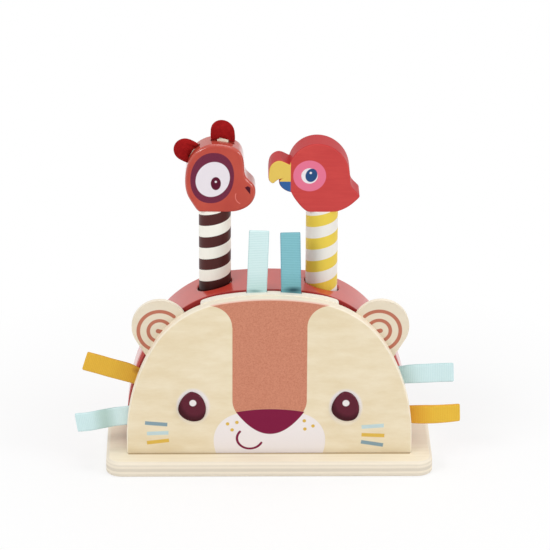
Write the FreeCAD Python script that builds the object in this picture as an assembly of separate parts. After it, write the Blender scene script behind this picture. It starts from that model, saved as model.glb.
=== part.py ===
import FreeCAD, Part

import math
import os

from FreeCAD import Vector

# Pop up animal toy. Millimetres, +Z up, +X to the toy's right hand side as seen from the front,
# +Y to the back. The origin is the middle of the base's underside, where it rests on the table.
# From front to back the toy is a lion face panel, a spacer that holds the ribbons and ears, and a
# hollow housing with two wells. A peg with an animal head stands in each well on a sprung plunger.

# Base plate, which stands out past the arches all round
BASE_SIDE_MARGIN = 16.2
BASE_END_MARGIN = 16.2
BASE_THICKNESS = 12.0
BASE_CORNER_RADIUS = 12.0
BASE_TOP_ROUND = 3.0
BASE_BOTTOM_ROUND = 1.5

# Moulded housing: upright sides up to the spring height, then an arch of three tangent arcs on each
# side, which are side, shoulder and crown. The side and crown radii follow from the other sizes.
# The shift is where the housing's middle line stands, x from the panel's middle line.
HOUSING_HALF_WIDTH = 107.0
HOUSING_HEIGHT = 127.7
HOUSING_SHIFT = -0.8
HOUSING_SPRING_HEIGHT = 12.5
HOUSING_SIDE_SWEEP = 32.1
HOUSING_SHOULDER_RADIUS = 76.1
HOUSING_SHOULDER_SWEEP = 52.0
HOUSING_DEPTH = 45.0
HOUSING_WALL = 2.5
HOUSING_EDGE_ROUND = 3.0

# Face panel, an arch of the same kind, a little wider at its foot than the housing and lower on top
PANEL_SIDE_MARGIN = 0.6
PANEL_TOP_STEP = 1.0
PANEL_SPRING_HEIGHT = 13.2
PANEL_SIDE_SWEEP = 31.4
PANEL_SHOULDER_RADIUS = 73.0
PANEL_SHOULDER_SWEEP = 48.6
PANEL_THICKNESS = 8.0
PANEL_EDGE_ROUND = 1.5

# Spacer behind the panel. Along the crown it comes up a little past the panel's outline as a band.
SPACER_THICKNESS = 6.5
SPACER_INSET = 5.0
CROWN_HALF_WIDTH = 51.7
CROWN_RISE = 0.7
CROWN_CORNER_RADIUS = 3.0

# Wells, pegs and their sprung plungers. The wells stand a little behind the housing's middle.
WELL_SPACING = 80.0
WELL_BACK_SHIFT = 2.6
PEG_DIAMETER = 24.0
PEG_LENGTH = 86.2
PEG_INSERTION = 25.0
PEG_BOTTOM_ROUND = 1.5
PEG_TOP_ROUND = 0.6
PEG_CLEARANCE = 0.8
RIM_ROUND = 1.0
PLUNGER_OVERLAP = 1.5
PLUNGER_CLEARANCE = 0.3
PLUNGER_STOP_GAP = 0.3
PLUNGER_HEIGHT = 18.0
PLUNGER_WALL = 2.4
TUBE_WALL = 1.8
SEAT_THICKNESS = 3.0
SEAT_SPIGOT_HEIGHT = 8.0
SEAT_PIN_DIAMETER = 6.0
SEAT_PIN_LENGTH = 7.0
SPRING_CLEARANCE = 1.8
SPRING_WIRE_DIAMETER = 1.5
SPRING_TURNS = 13
SPRING_END_GAP = 0.1
SPIGOT_CLEARANCE = 0.4

# Animal heads, cut from board, and the dowels that join them to the pegs
HEAD_THICKNESS = 21.0
LEMUR_EDGE_ROUND = 2.6
PARROT_EDGE_ROUND = 1.0
DOWEL_DIAMETER = 8.0
DOWEL_LENGTH = 26.0
DOWEL_END_GAP = 0.5
DOWEL_END_ROUND = 0.8

# Lemur's cloth ears
CLOTH_EAR_WIDTH = 17.5
CLOTH_EAR_HEIGHT = 16.0
CLOTH_EAR_THICKNESS = 4.0
CLOTH_EAR_TUCK = 4.0
CLOTH_EAR_ROUND = 1.6

# Lion's ears, discs with a neck that is glued behind the panel. The station is the direction in
# degrees, from level, of the panel's edge there, and the disc's middle stands out past that edge.
# Both ears are set a little to the right.
EAR_RADIUS = 21.2
EAR_THICKNESS = 5.0
EAR_STATION = 40.0
EAR_SHIFT = 0.65
EAR_STAND_OUT = 3.8
EAR_EDGE_ROUND = 1.2
EAR_NECK_RADIUS = 15.0
EAR_NECK_REACH = 24.0
EAR_NECK_ANGLE = 74.0

# Lion's eyes, domed inserts
EYE_SPACING = 115.4
EYE_SHIFT = -0.7
EYE_HEIGHT = 38.6
EYE_RECESS = 1.6
EYE_STAND = 1.5
EYE_DOME_ROUND = 1.2

# Ribbon loops
RIBBON_WIDTH = 15.0
RIBBON_CLOTH = 0.6
RIBBON_FOLD_RADIUS = 0.85
RIBBON_TAIL = 13.0
RIBBON_TOP_TAIL = 14.0
RIBBON_TOP_RISE = 49.0
RIBBON_BELOW_EAR = 41.3
RIBBON_LOW_HEIGHT = 25.9

# Fasteners
SCREW_SHANK_DIAMETER = 3.4
SCREW_HEAD_DIAMETER = 7.0
SCREW_HEAD_HEIGHT = 2.4
SCREW_SINK = 0.4
SCREW_RECESS_LENGTH = 4.2
SCREW_RECESS_WIDTH = 1.0
SCREW_RECESS_DEPTH = 1.4
BASE_SCREW_GRIP = 14.0
BASE_SCREW_INSET = 15.0
BOSS_RADIUS = 4.6
BOSS_CAP = 6.0
BOSS_OFFSET = 3.2
PANEL_SCREW_BITE = 5.0
LOW_SCREW_SPACING = 12.0
LOW_SCREW_HEIGHT = 8.0
HIGH_SCREW_OFFSET = 46.0
HIGH_SCREW_DEPTH = 30.0
STAPLE_WIDTH = 8.0
STAPLE_WIRE = 0.6
STAPLE_LEG = 4.0

# Fits
FIT = 0.1
LOOSE_FIT = 0.3
HOLE_PASS = 1.0
BISECTIONS = 60

# Levels that follow from the driving dimensions
DECK = BASE_THICKNESS
PANEL_FRONT = -(PANEL_THICKNESS + SPACER_THICKNESS + HOUSING_DEPTH) / 2
PANEL_BACK = PANEL_FRONT + PANEL_THICKNESS
HOUSING_FRONT = PANEL_BACK + SPACER_THICKNESS
HOUSING_BACK = HOUSING_FRONT + HOUSING_DEPTH
WELL_Y = HOUSING_FRONT + HOUSING_DEPTH / 2 + WELL_BACK_SHIFT
HOLE_RADIUS = PEG_DIAMETER / 2 + PEG_CLEARANCE
PLUNGER_RADIUS = HOLE_RADIUS + PLUNGER_OVERLAP
TUBE_BORE_RADIUS = PLUNGER_RADIUS + PLUNGER_CLEARANCE
TUBE_OUTER_RADIUS = TUBE_BORE_RADIUS + TUBE_WALL
RIBBON_Y = HOUSING_FRONT - STAPLE_WIRE - FIT - RIBBON_FOLD_RADIUS
PLUNGER_INNER_RADIUS = PLUNGER_RADIUS - PLUNGER_WALL
SPRING_MEAN_RADIUS = PLUNGER_INNER_RADIUS - SPRING_CLEARANCE - SPRING_WIRE_DIAMETER / 2


class Arch:
    """Symmetric arch of tangent arcs that stands on the deck, with an even inset if asked."""

    def __init__(
        self, half_width, height, spring_height, side_sweep, shoulder_radius, shoulder_sweep, middle
    ):
        self.size = (half_width, height, spring_height, side_sweep, shoulder_radius, shoulder_sweep)
        self.middle = middle
        self.half_width = half_width
        self.height = height
        self.spring_height = spring_height
        self.shoulder_radius = shoulder_radius
        self.side_end = math.radians(side_sweep)
        self.shoulder_end = math.radians(side_sweep + shoulder_sweep)
        side_sin, side_cos = math.sin(self.side_end), math.cos(self.side_end)
        end_sin, end_cos = math.sin(self.shoulder_end), math.cos(self.shoulder_end)
        # Rise of the crown arc for each unit of its half chord, then the side radius that makes the
        # three arcs meet tangent to each other and level at the top
        crown_rise = (1 - end_sin) / end_cos
        left_over = height - spring_height - shoulder_radius * (end_sin - side_sin)
        left_over -= crown_rise * (half_width - shoulder_radius * (side_cos - end_cos))
        self.side_radius = left_over / (side_sin - crown_rise * (1 - side_cos))
        side_x = half_width - self.side_radius
        shoulder_x = side_x + (self.side_radius - shoulder_radius) * side_cos
        shoulder_z = spring_height + (self.side_radius - shoulder_radius) * side_sin
        self.crown_radius = (shoulder_x + shoulder_radius * end_cos) / end_cos
        self.side_centre = (side_x, spring_height)
        self.shoulder_centre = (shoulder_x, shoulder_z)
        self.crown_centre = (0.0, height - self.crown_radius)

    def inset(self, distance):
        half_width, height, spring_height, side_sweep, shoulder_radius, shoulder_sweep = self.size
        return Arch(
            half_width - distance,
            height - distance,
            spring_height,
            side_sweep,
            shoulder_radius - distance,
            shoulder_sweep,
            self.middle,
        )

    def point(self, angle):
        """Half width and height where the outline's normal has this angle from level."""
        if angle <= self.side_end:
            centre, radius = self.side_centre, self.side_radius
        elif angle <= self.shoulder_end:
            centre, radius = self.shoulder_centre, self.shoulder_radius
        else:
            centre, radius = self.crown_centre, self.crown_radius
        return centre[0] + radius * math.cos(angle), centre[1] + radius * math.sin(angle)

    def search(self, axis, target):
        """Angle at which the half width (axis 0) or the height (axis 1) reaches the target."""
        low, high = 0.0, math.pi / 2
        for _ in range(BISECTIONS):
            middle = (low + high) / 2
            value = self.point(middle)[axis]
            short = value > target if axis == 0 else value < target
            low, high = (middle, high) if short else (low, middle)
        return (low + high) / 2

    def height_at(self, x):
        return self.point(self.search(0, abs(x)))[1]

    def half_width_at(self, height):
        if height <= self.spring_height:
            return self.half_width
        return self.point(self.search(1, height))[0]

    def wire(self, y):
        """Closed outline at one depth, from the deck over the top and back."""

        def at(angle, side):
            x, height = self.point(angle)
            return Vector(self.middle + side * x, y, DECK + height)

        left_foot = Vector(self.middle - self.half_width, y, DECK)
        right_foot = Vector(self.middle + self.half_width, y, DECK)
        side_middle = self.side_end / 2
        shoulder_middle = (self.side_end + self.shoulder_end) / 2
        top = math.pi / 2
        edges = [
            Part.LineSegment(left_foot, right_foot),
            Part.LineSegment(right_foot, at(0, 1)),
            Part.Arc(at(0, 1), at(side_middle, 1), at(self.side_end, 1)),
            Part.Arc(at(self.side_end, 1), at(shoulder_middle, 1), at(self.shoulder_end, 1)),
            Part.Arc(at(self.shoulder_end, 1), at(top, 1), at(self.shoulder_end, -1)),
            Part.Arc(at(self.shoulder_end, -1), at(shoulder_middle, -1), at(self.side_end, -1)),
            Part.Arc(at(self.side_end, -1), at(side_middle, -1), at(0, -1)),
            Part.LineSegment(at(0, -1), left_foot),
        ]
        return Part.Wire([edge.toShape() for edge in edges])

    def solid(self, front, back):
        return Part.Face(self.wire(front)).extrude(Vector(0, back - front, 0))


PANEL_ARCH = Arch(
    HOUSING_HALF_WIDTH + PANEL_SIDE_MARGIN,
    HOUSING_HEIGHT - PANEL_TOP_STEP,
    PANEL_SPRING_HEIGHT,
    PANEL_SIDE_SWEEP,
    PANEL_SHOULDER_RADIUS,
    PANEL_SHOULDER_SWEEP,
    0.0,
)
HOUSING_ARCH = Arch(
    HOUSING_HALF_WIDTH,
    HOUSING_HEIGHT,
    HOUSING_SPRING_HEIGHT,
    HOUSING_SIDE_SWEEP,
    HOUSING_SHOULDER_RADIUS,
    HOUSING_SHOULDER_SWEEP,
    HOUSING_SHIFT,
)

SIDES = {"left": -1, "right": 1}
BASE_WIDTH = 2 * (HOUSING_HALF_WIDTH + BASE_SIDE_MARGIN)
BASE_DEPTH = HOUSING_BACK - PANEL_FRONT + 2 * BASE_END_MARGIN
RIM = DECK + HOUSING_ARCH.height_at(WELL_SPACING / 2)
PLUNGER_TOP = RIM - PEG_INSERTION
COLLAR_BOTTOM = PLUNGER_TOP + PLUNGER_STOP_GAP
HEAD_BOTTOM = PLUNGER_TOP + PEG_LENGTH

# Head outlines, x to the toy's right of the peg's axis and z above the neck. Each loop is a smooth
# closed curve, and a head's loops are joined into one board. The neck is then cut flat at z = 0.
LEMUR_LOOPS = [
    [
        (-10.0, -0.9),
        (0.0, -1.0),
        (14.5, -0.5),
        (25.9, 4.8),
        (30.0, 12.4),
        (28.9, 20.6),
        (23.6, 26.4),
        (21.7, 36.5),
        (18.6, 47.2),
        (7.0, 52.7),
        (-5.5, 52.4),
        (-16.6, 44.4),
        (-21.7, 30.0),
        (-20.3, 12.6),
        (-15.8, 4.4),
    ]
]
PARROT_LOOPS = [
    [
        (-8.0, -0.8),
        (1.0, -1.0),
        (9.5, -0.4),
        (19.0, 3.6),
        (25.6, 9.2),
        (27.6, 12.2),
        (25.8, 14.9),
        (21.6, 20.0),
        (20.2, 30.0),
        (15.4, 43.4),
        (4.6, 52.1),
        (-8.0, 53.4),
        (-18.0, 48.4),
        (-24.2, 39.0),
        (-25.6, 27.0),
        (-23.4, 15.6),
        (-17.6, 6.0),
    ],
    [
        (-18.0, 37.2),
        (-26.4, 38.6),
        (-32.6, 40.8),
        (-38.4, 37.2),
        (-40.2, 29.5),
        (-39.4, 24.3),
        (-36.9, 22.5),
        (-34.4, 24.4),
        (-28.0, 26.2),
        (-18.0, 27.4),
        (-13.6, 32.2),
    ],
    [
        (-20.0, 27.0),
        (-28.0, 27.4),
        (-32.3, 24.2),
        (-30.4, 19.2),
        (-26.0, 16.2),
        (-19.0, 15.6),
        (-14.0, 21.4),
    ],
]
# Lion's eye, x to the right and z above its middle
EYE_OUTLINE = [
    (0.8, 12.5),
    (6.2, 9.6),
    (9.7, 3.4),
    (10.4, -3.6),
    (7.6, -9.8),
    (1.2, -11.6),
    (-5.2, -9.6),
    (-10.0, -3.8),
    (-9.2, 3.4),
    (-5.2, 9.6),
]

# Cloth ears on the lemur: base point on the outline (x, z) and the way the tip points, degrees
CLOTH_EARS = {"front": (5.8, 53.2, 88.0), "rear": (-17.4, 43.2, 152.0)}

# Middle of the right ear's disc, x and height above the deck
EAR_EDGE_X, EAR_EDGE_HEIGHT = PANEL_ARCH.point(math.radians(EAR_STATION))
EAR_X = EAR_EDGE_X + EAR_STAND_OUT * math.cos(math.radians(EAR_STATION))
EAR_HEIGHT = EAR_EDGE_HEIGHT + EAR_STAND_OUT * math.sin(math.radians(EAR_STATION))

# Side ribbons: side of the toy, height above the deck where they leave the panel's edge,
# direction in degrees from level, positive up, and the free length
SIDE_RIBBONS = {
    "ribbon_upper_left": (-1, EAR_HEIGHT - RIBBON_BELOW_EAR, 17.0, 40.5),
    "ribbon_lower_left": (-1, RIBBON_LOW_HEIGHT, -8.8, 39.5),
    "ribbon_upper_right": (1, EAR_HEIGHT - RIBBON_BELOW_EAR, 2.3, 38.0),
    "ribbon_lower_right": (1, RIBBON_LOW_HEIGHT, 2.4, 37.5),
}
# Top ribbons: x where they leave the crown, and the lean of the loop in degrees to the right
TOP_RIBBONS = {"ribbon_top_left": (-9.7, 2.0), "ribbon_top_right": (16.1, -1.2)}

# Screws through the housing's front wall, x and height above the deck: two low ones beside the
# base screws and two high ones over the wells
BASE_SCREW_X = HOUSING_HALF_WIDTH - BASE_SCREW_INSET
HIGH_SCREW_HEIGHT = PANEL_ARCH.height_at(HIGH_SCREW_OFFSET) - HIGH_SCREW_DEPTH
PANEL_SCREW_PLACES = [
    (HOUSING_SHIFT + side * x, height)
    for x, height in (
        (BASE_SCREW_X - LOW_SCREW_SPACING, LOW_SCREW_HEIGHT),
        (HIGH_SCREW_OFFSET, HIGH_SCREW_HEIGHT),
    )
    for side in (-1, 1)
]
BASE_SCREW_PLACES = [
    (HOUSING_SHIFT + side * BASE_SCREW_X, wall_y)
    for side in (-1, 1)
    for wall_y in (
        HOUSING_FRONT + HOUSING_WALL + BOSS_OFFSET,
        HOUSING_BACK - HOUSING_WALL - BOSS_OFFSET,
    )
]


def box(x0, x1, y0, y1, z0, z1):
    return Part.makeBox(x1 - x0, y1 - y0, z1 - z0, Vector(x0, y0, z0))


def cylinder(radius, x, y, z0, z1):
    return Part.makeCylinder(radius, z1 - z0, Vector(x, y, z0))


def solid_of(shape):
    return shape.removeSplitter().Solids[0]


def is_level(edge, axis, value):
    return all(abs(getattr(vertex.Point, axis) - value) < 1e-6 for vertex in edge.Vertexes)


def edges_at(shape, axis, value):
    return [edge for edge in shape.Edges if is_level(edge, axis, value)]


def well_x(side):
    return HOUSING_SHIFT + side * WELL_SPACING / 2


def loop_board(points, y0, y1):
    """Board between two depths whose outline is a smooth closed curve through the points."""
    curve = Part.BSplineCurve()
    curve.interpolate([Vector(x, y0, z) for x, z in points], PeriodicFlag=True)
    return Part.Face(Part.Wire([curve.toShape()])).extrude(Vector(0, y1 - y0, 0))


def base_plate():
    half_width = BASE_WIDTH / 2
    half_depth = BASE_DEPTH / 2
    plate = box(-half_width, half_width, -half_depth, half_depth, 0, BASE_THICKNESS)
    upright = [edge for edge in plate.Edges if abs(edge.Length - BASE_THICKNESS) < 1e-6]
    plate = plate.makeFillet(BASE_CORNER_RADIUS, upright)
    plate = plate.makeFillet(BASE_TOP_ROUND, edges_at(plate, "z", BASE_THICKNESS))
    plate = plate.makeFillet(BASE_BOTTOM_ROUND, edges_at(plate, "z", 0))
    for x, y in BASE_SCREW_PLACES:
        plate = plate.cut(countersink(x, y))
    for side in SIDES.values():
        pin_hole = cylinder(
            SEAT_PIN_DIAMETER / 2 + FIT, well_x(side), WELL_Y, DECK - SEAT_PIN_LENGTH - FIT, DECK
        )
        plate = plate.cut(pin_hole)
    return solid_of(plate)


def countersink(x, y):
    """Room for one base screw, from the underside up through the plate."""
    shank = cylinder(SCREW_SHANK_DIAMETER / 2 + FIT, x, y, -HOLE_PASS, BASE_THICKNESS + HOLE_PASS)
    head_radius = SCREW_HEAD_DIAMETER / 2 + FIT
    seat = Vector(x, y, SCREW_SINK)
    cone = Part.makeCone(head_radius, SCREW_SHANK_DIAMETER / 2 + FIT, SCREW_HEAD_HEIGHT + FIT, seat)
    mouth = cylinder(head_radius, x, y, -HOLE_PASS, SCREW_SINK)
    return shank.fuse([cone, mouth])


def base_screws():
    screws = []
    for x, y in BASE_SCREW_PLACES:
        shank_radius = SCREW_SHANK_DIAMETER / 2
        face = Vector(x, y, SCREW_SINK)
        cone = Part.makeCone(SCREW_HEAD_DIAMETER / 2, shank_radius, SCREW_HEAD_HEIGHT, face)
        shank = cylinder(shank_radius, x, y, SCREW_SINK, BASE_THICKNESS + BASE_SCREW_GRIP)
        screw = cone.fuse(shank).cut(cross_recess(face, Vector(0, 0, 1)))
        screws.append(solid_of(screw))
    return Part.makeCompound(screws)


def cross_recess(face_centre, inward):
    """Cross shaped driver recess that goes into a screw head from its face."""
    half_long = SCREW_RECESS_LENGTH / 2
    half_slot = SCREW_RECESS_WIDTH / 2
    bars = []
    for half_x, half_y in ((half_long, half_slot), (half_slot, half_long)):
        bars.append(box(-half_x, half_x, -half_y, half_y, -HOLE_PASS, SCREW_RECESS_DEPTH))
    cross = bars[0].fuse(bars[1])
    cross.Placement = FreeCAD.Placement(face_centre, FreeCAD.Rotation(Vector(0, 0, 1), inward))
    return cross


def eye_block(side, y0, y1, growth):
    """Eye shaped block, grown evenly from its middle by a clearance."""
    points = []
    for x, z in EYE_OUTLINE:
        scale = 1 + growth / math.hypot(x, z)
        points.append((x * scale, z * scale))
    block = loop_board(points, y0, y1)
    block.translate(Vector(EYE_SHIFT + side * EYE_SPACING / 2, 0, DECK + EYE_HEIGHT))
    return block


def lion_eye(side):
    front = PANEL_FRONT - EYE_STAND
    eye = eye_block(side, front, PANEL_FRONT + EYE_RECESS, 0)
    return solid_of(eye.makeFillet(EYE_DOME_ROUND, edges_at(eye, "y", front)))


def front_panel():
    panel = PANEL_ARCH.solid(PANEL_FRONT, PANEL_BACK)
    rims = [edge for edge in edges_at(panel, "y", PANEL_FRONT) if not is_level(edge, "z", DECK)]
    panel = panel.makeFillet(PANEL_EDGE_ROUND, rims)
    for side in SIDES.values():
        recess = eye_block(side, PANEL_FRONT - HOLE_PASS, PANEL_FRONT + EYE_RECESS, FIT)
        panel = panel.cut(recess)
    for x, height in PANEL_SCREW_PLACES:
        pilot_front = PANEL_BACK - PANEL_SCREW_BITE - FIT
        panel = panel.cut(panel_bore(x, height, pilot_front, PANEL_BACK))
    return solid_of(panel)


def panel_bore(x, height, y0, y1):
    start = Vector(x, y0, DECK + height)
    return Part.makeCylinder(SCREW_SHANK_DIAMETER / 2 + FIT, y1 - y0, start, Vector(0, 1, 0))


def panel_screws():
    head_seat = HOUSING_FRONT + HOUSING_WALL
    screws = []
    for x, height in PANEL_SCREW_PLACES:
        tip = Vector(x, PANEL_BACK - PANEL_SCREW_BITE, DECK + height)
        shank_length = head_seat - tip.y + SCREW_HEAD_HEIGHT / 2
        shank = Part.makeCylinder(SCREW_SHANK_DIAMETER / 2, shank_length, tip, Vector(0, 1, 0))
        head_start = Vector(x, head_seat, DECK + height)
        head = Part.makeCylinder(
            SCREW_HEAD_DIAMETER / 2, SCREW_HEAD_HEIGHT, head_start, Vector(0, 1, 0)
        )
        face = Vector(x, head_seat + SCREW_HEAD_HEIGHT, DECK + height)
        screw = shank.fuse(head).cut(cross_recess(face, Vector(0, -1, 0)))
        screws.append(solid_of(screw))
    return Part.makeCompound(screws)


def ear_outline(side, y, growth):
    """Disc and neck under one tangent outline, grown evenly by a clearance."""
    disc = Vector(EAR_SHIFT + side * EAR_X, y, DECK + EAR_HEIGHT)
    angle = math.radians(-EAR_NECK_ANGLE)
    step = Vector(-side * math.cos(angle), 0, math.sin(angle))
    neck = disc + step * EAR_NECK_REACH
    across = Vector(step.z, 0, -step.x)
    lean = math.asin((EAR_RADIUS - EAR_NECK_RADIUS) / EAR_NECK_REACH)

    def on(centre, radius, turn):
        return centre + (step * math.sin(turn) + across * math.cos(turn)) * radius

    big = EAR_RADIUS + growth
    small = EAR_NECK_RADIUS + growth
    far = math.pi - lean
    edges = [
        Part.LineSegment(on(disc, big, lean), on(neck, small, lean)),
        Part.Arc(on(neck, small, lean), on(neck, small, math.pi / 2), on(neck, small, far)),
        Part.LineSegment(on(neck, small, far), on(disc, big, far)),
        Part.Arc(on(disc, big, far), on(disc, big, -math.pi / 2), on(disc, big, lean)),
    ]
    return Part.Wire([edge.toShape() for edge in edges])


def ear_block(side, y0, y1, growth):
    return Part.Face(ear_outline(side, y0, growth)).extrude(Vector(0, y1 - y0, 0))


def lion_ear(side):
    ear = ear_block(side, PANEL_BACK, PANEL_BACK + EAR_THICKNESS, 0)
    return solid_of(ear.makeFillet(EAR_EDGE_ROUND, edges_at(ear, "y", PANEL_BACK + EAR_THICKNESS)))


def ribbon_places():
    """Name, frame at the point where the ribbon leaves the wood, free length and tail length."""
    places = []
    for name, (side, height, rise, free) in SIDE_RIBBONS.items():
        x = side * PANEL_ARCH.half_width_at(height)
        turn = -rise if side > 0 else 180 + rise
        places.append((name, x, height, turn, free, RIBBON_TAIL))
    for name, (x, lean) in TOP_RIBBONS.items():
        height = PANEL_ARCH.height_at(x)
        places.append((name, x, height, lean - 90, RIBBON_TOP_RISE, RIBBON_TOP_TAIL))
    return places


def at_ribbon(shape, x, height, turn):
    """Moves a shape drawn along +X from the origin to where a ribbon leaves the wood."""
    shape.Placement = FreeCAD.Placement(
        Vector(x, RIBBON_Y, DECK + height), FreeCAD.Rotation(Vector(0, 1, 0), turn)
    )
    return shape


def slot_prism(x0, x1, half_thickness, half_width):
    """Flat bar along X with a round far end, for the loop and for the space inside it."""
    centre_x = x1 - half_thickness
    bar = box(x0, centre_x, -half_thickness, half_thickness, -half_width, half_width)
    end = cylinder(half_thickness, centre_x, 0, -half_width, half_width)
    return bar.fuse(end).removeSplitter()


def ribbon(x, height, turn, free, tail):
    half_width = RIBBON_WIDTH / 2
    loop = slot_prism(-tail, free, RIBBON_FOLD_RADIUS, half_width)
    inner = slot_prism(
        -tail - HOLE_PASS,
        free - RIBBON_CLOTH,
        RIBBON_FOLD_RADIUS - RIBBON_CLOTH,
        half_width + HOLE_PASS,
    )
    loop = loop.cut(inner)
    for leg in staple_legs(tail, FIT):
        loop = loop.cut(leg)
    return at_ribbon(solid_of(loop), x, height, turn)


def staple_middle(tail):
    return -tail / 2 - SPACER_INSET / 2


def staple_legs(tail, growth):
    """The two legs of a staple, in the ribbon's own frame, crown side towards +Y."""
    half_wire = STAPLE_WIRE / 2 + growth
    middle = staple_middle(tail)
    crown_back = RIBBON_FOLD_RADIUS + STAPLE_WIRE
    legs = []
    for side in SIDES.values():
        z = side * (STAPLE_WIDTH - STAPLE_WIRE) / 2
        legs.append(
            box(
                middle - half_wire,
                middle + half_wire,
                crown_back - STAPLE_LEG - growth,
                crown_back + growth,
                z - half_wire,
                z + half_wire,
            )
        )
    return legs


def ribbon_staples():
    staples = []
    for _, x, height, turn, _, tail in ribbon_places():
        half_wire = STAPLE_WIRE / 2
        middle = staple_middle(tail)
        crown = box(
            middle - half_wire,
            middle + half_wire,
            RIBBON_FOLD_RADIUS,
            RIBBON_FOLD_RADIUS + STAPLE_WIRE,
            -STAPLE_WIDTH / 2,
            STAPLE_WIDTH / 2,
        )
        staple = crown.fuse(staple_legs(tail, 0))
        staples.append(at_ribbon(solid_of(staple), x, height, turn))
    return Part.makeCompound(staples)


def spacer_plate():
    spacer = PANEL_ARCH.inset(SPACER_INSET).solid(PANEL_BACK, HOUSING_FRONT)
    crown_top = DECK + PANEL_ARCH.height + CROWN_RISE
    crown_foot = DECK + PANEL_ARCH.height_at(CROWN_HALF_WIDTH) - 2 * SPACER_INSET
    crown = box(
        -CROWN_HALF_WIDTH,
        CROWN_HALF_WIDTH,
        PANEL_BACK,
        HOUSING_FRONT,
        crown_foot,
        crown_top + HOLE_PASS,
    )
    crown = crown.common(PANEL_ARCH.inset(-CROWN_RISE).solid(PANEL_BACK, HOUSING_FRONT))
    corners = [edge for edge in crown.Edges if is_crown_corner(edge)]
    crown = crown.makeFillet(CROWN_CORNER_RADIUS, corners)
    spacer = spacer.fuse(crown).removeSplitter()
    for side in SIDES.values():
        spacer = spacer.cut(ear_block(side, PANEL_BACK, HOUSING_FRONT, FIT))
    for _, x, height, turn, free, tail in ribbon_places():
        pocket = box(
            -tail - FIT,
            free,
            -RIBBON_FOLD_RADIUS - FIT,
            HOUSING_FRONT - RIBBON_Y,
            -RIBBON_WIDTH / 2 - LOOSE_FIT,
            RIBBON_WIDTH / 2 + LOOSE_FIT,
        )
        spacer = spacer.cut(at_ribbon(pocket, x, height, turn))
        for leg in staple_legs(tail, FIT):
            spacer = spacer.cut(at_ribbon(leg, x, height, turn))
    for x, height in PANEL_SCREW_PLACES:
        spacer = spacer.cut(panel_bore(x, height, PANEL_BACK, HOUSING_FRONT))
    return solid_of(spacer)


def is_crown_corner(edge):
    """The short edges along Y at the crown's two outer top corners."""
    first, last = edge.Vertexes[0].Point, edge.Vertexes[-1].Point
    along_y = abs(abs(last.y - first.y) - SPACER_THICKNESS) < 1e-6
    outer = abs(abs(first.x) - CROWN_HALF_WIDTH) < 1e-3
    high = first.z > DECK + PANEL_ARCH.height_at(CROWN_HALF_WIDTH) - SPACER_INSET
    return along_y and outer and high


def housing():
    body = HOUSING_ARCH.solid(HOUSING_FRONT, HOUSING_BACK)
    rims = [
        edge
        for edge in edges_at(body, "y", HOUSING_FRONT) + edges_at(body, "y", HOUSING_BACK)
        if not is_level(edge, "z", DECK)
    ]
    body = body.makeFillet(HOUSING_EDGE_ROUND, rims)
    cavity = HOUSING_ARCH.inset(HOUSING_WALL).solid(
        HOUSING_FRONT + HOUSING_WALL, HOUSING_BACK - HOUSING_WALL
    )
    shell = body.cut(cavity)
    inner_parts = []
    for x, y in BASE_SCREW_PLACES:
        boss_top = BASE_THICKNESS + BASE_SCREW_GRIP + BOSS_CAP
        inner_parts.append(cylinder(BOSS_RADIUS, x, y, DECK, boss_top))
    for side in SIDES.values():
        collar = cylinder(TUBE_OUTER_RADIUS, well_x(side), WELL_Y, COLLAR_BOTTOM, DECK + HOUSING_HEIGHT)
        inner_parts.append(collar)
    inner_parts = [piece.common(body) for piece in inner_parts]
    shell = shell.fuse(inner_parts)
    for side in SIDES.values():
        top = DECK + HOUSING_HEIGHT + HOLE_PASS
        shell = shell.cut(cylinder(HOLE_RADIUS, well_x(side), WELL_Y, COLLAR_BOTTOM - HOLE_PASS, top))
    shell = shell.removeSplitter()
    shell = shell.makeFillet(RIM_ROUND, [edge for edge in shell.Edges if is_hole_rim(edge)])
    for x, y in BASE_SCREW_PLACES:
        pilot_top = BASE_THICKNESS + BASE_SCREW_GRIP + FIT
        shell = shell.cut(cylinder(SCREW_SHANK_DIAMETER / 2 + FIT, x, y, DECK, pilot_top))
    for x, height in PANEL_SCREW_PLACES:
        shell = shell.cut(panel_bore(x, height, HOUSING_FRONT, HOUSING_FRONT + HOUSING_WALL))
    return solid_of(shell)


def is_hole_rim(edge):
    """The edges where a well's bore comes out of the arched top."""
    for vertex in edge.Vertexes:
        reach = min(
            math.hypot(vertex.X - well_x(side), vertex.Y - WELL_Y) for side in SIDES.values()
        )
        if abs(reach - HOLE_RADIUS) > 1e-3 or vertex.Z < COLLAR_BOTTOM + HOUSING_WALL:
            return False
    return edge.Length > HOLE_RADIUS


def guide_tube(side):
    x = well_x(side)
    outer = cylinder(TUBE_OUTER_RADIUS, x, WELL_Y, DECK, COLLAR_BOTTOM)
    return outer.cut(cylinder(TUBE_BORE_RADIUS, x, WELL_Y, DECK, COLLAR_BOTTOM))


def spring_seat(side):
    x = well_x(side)
    spigot_radius = SPRING_MEAN_RADIUS - SPRING_WIRE_DIAMETER / 2 - SPIGOT_CLEARANCE
    disc = cylinder(TUBE_BORE_RADIUS - FIT, x, WELL_Y, DECK, DECK + SEAT_THICKNESS)
    spigot = cylinder(spigot_radius, x, WELL_Y, DECK, DECK + SEAT_THICKNESS + SEAT_SPIGOT_HEIGHT)
    pin = cylinder(SEAT_PIN_DIAMETER / 2, x, WELL_Y, DECK - SEAT_PIN_LENGTH, DECK)
    return solid_of(disc.fuse([spigot, pin]))


def plunger(side):
    x = well_x(side)
    foot = PLUNGER_TOP - PLUNGER_HEIGHT
    outer = cylinder(PLUNGER_RADIUS, x, WELL_Y, foot, PLUNGER_TOP)
    inner = cylinder(PLUNGER_INNER_RADIUS, x, WELL_Y, foot, PLUNGER_TOP - PLUNGER_WALL)
    return solid_of(outer.cut(inner))


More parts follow.
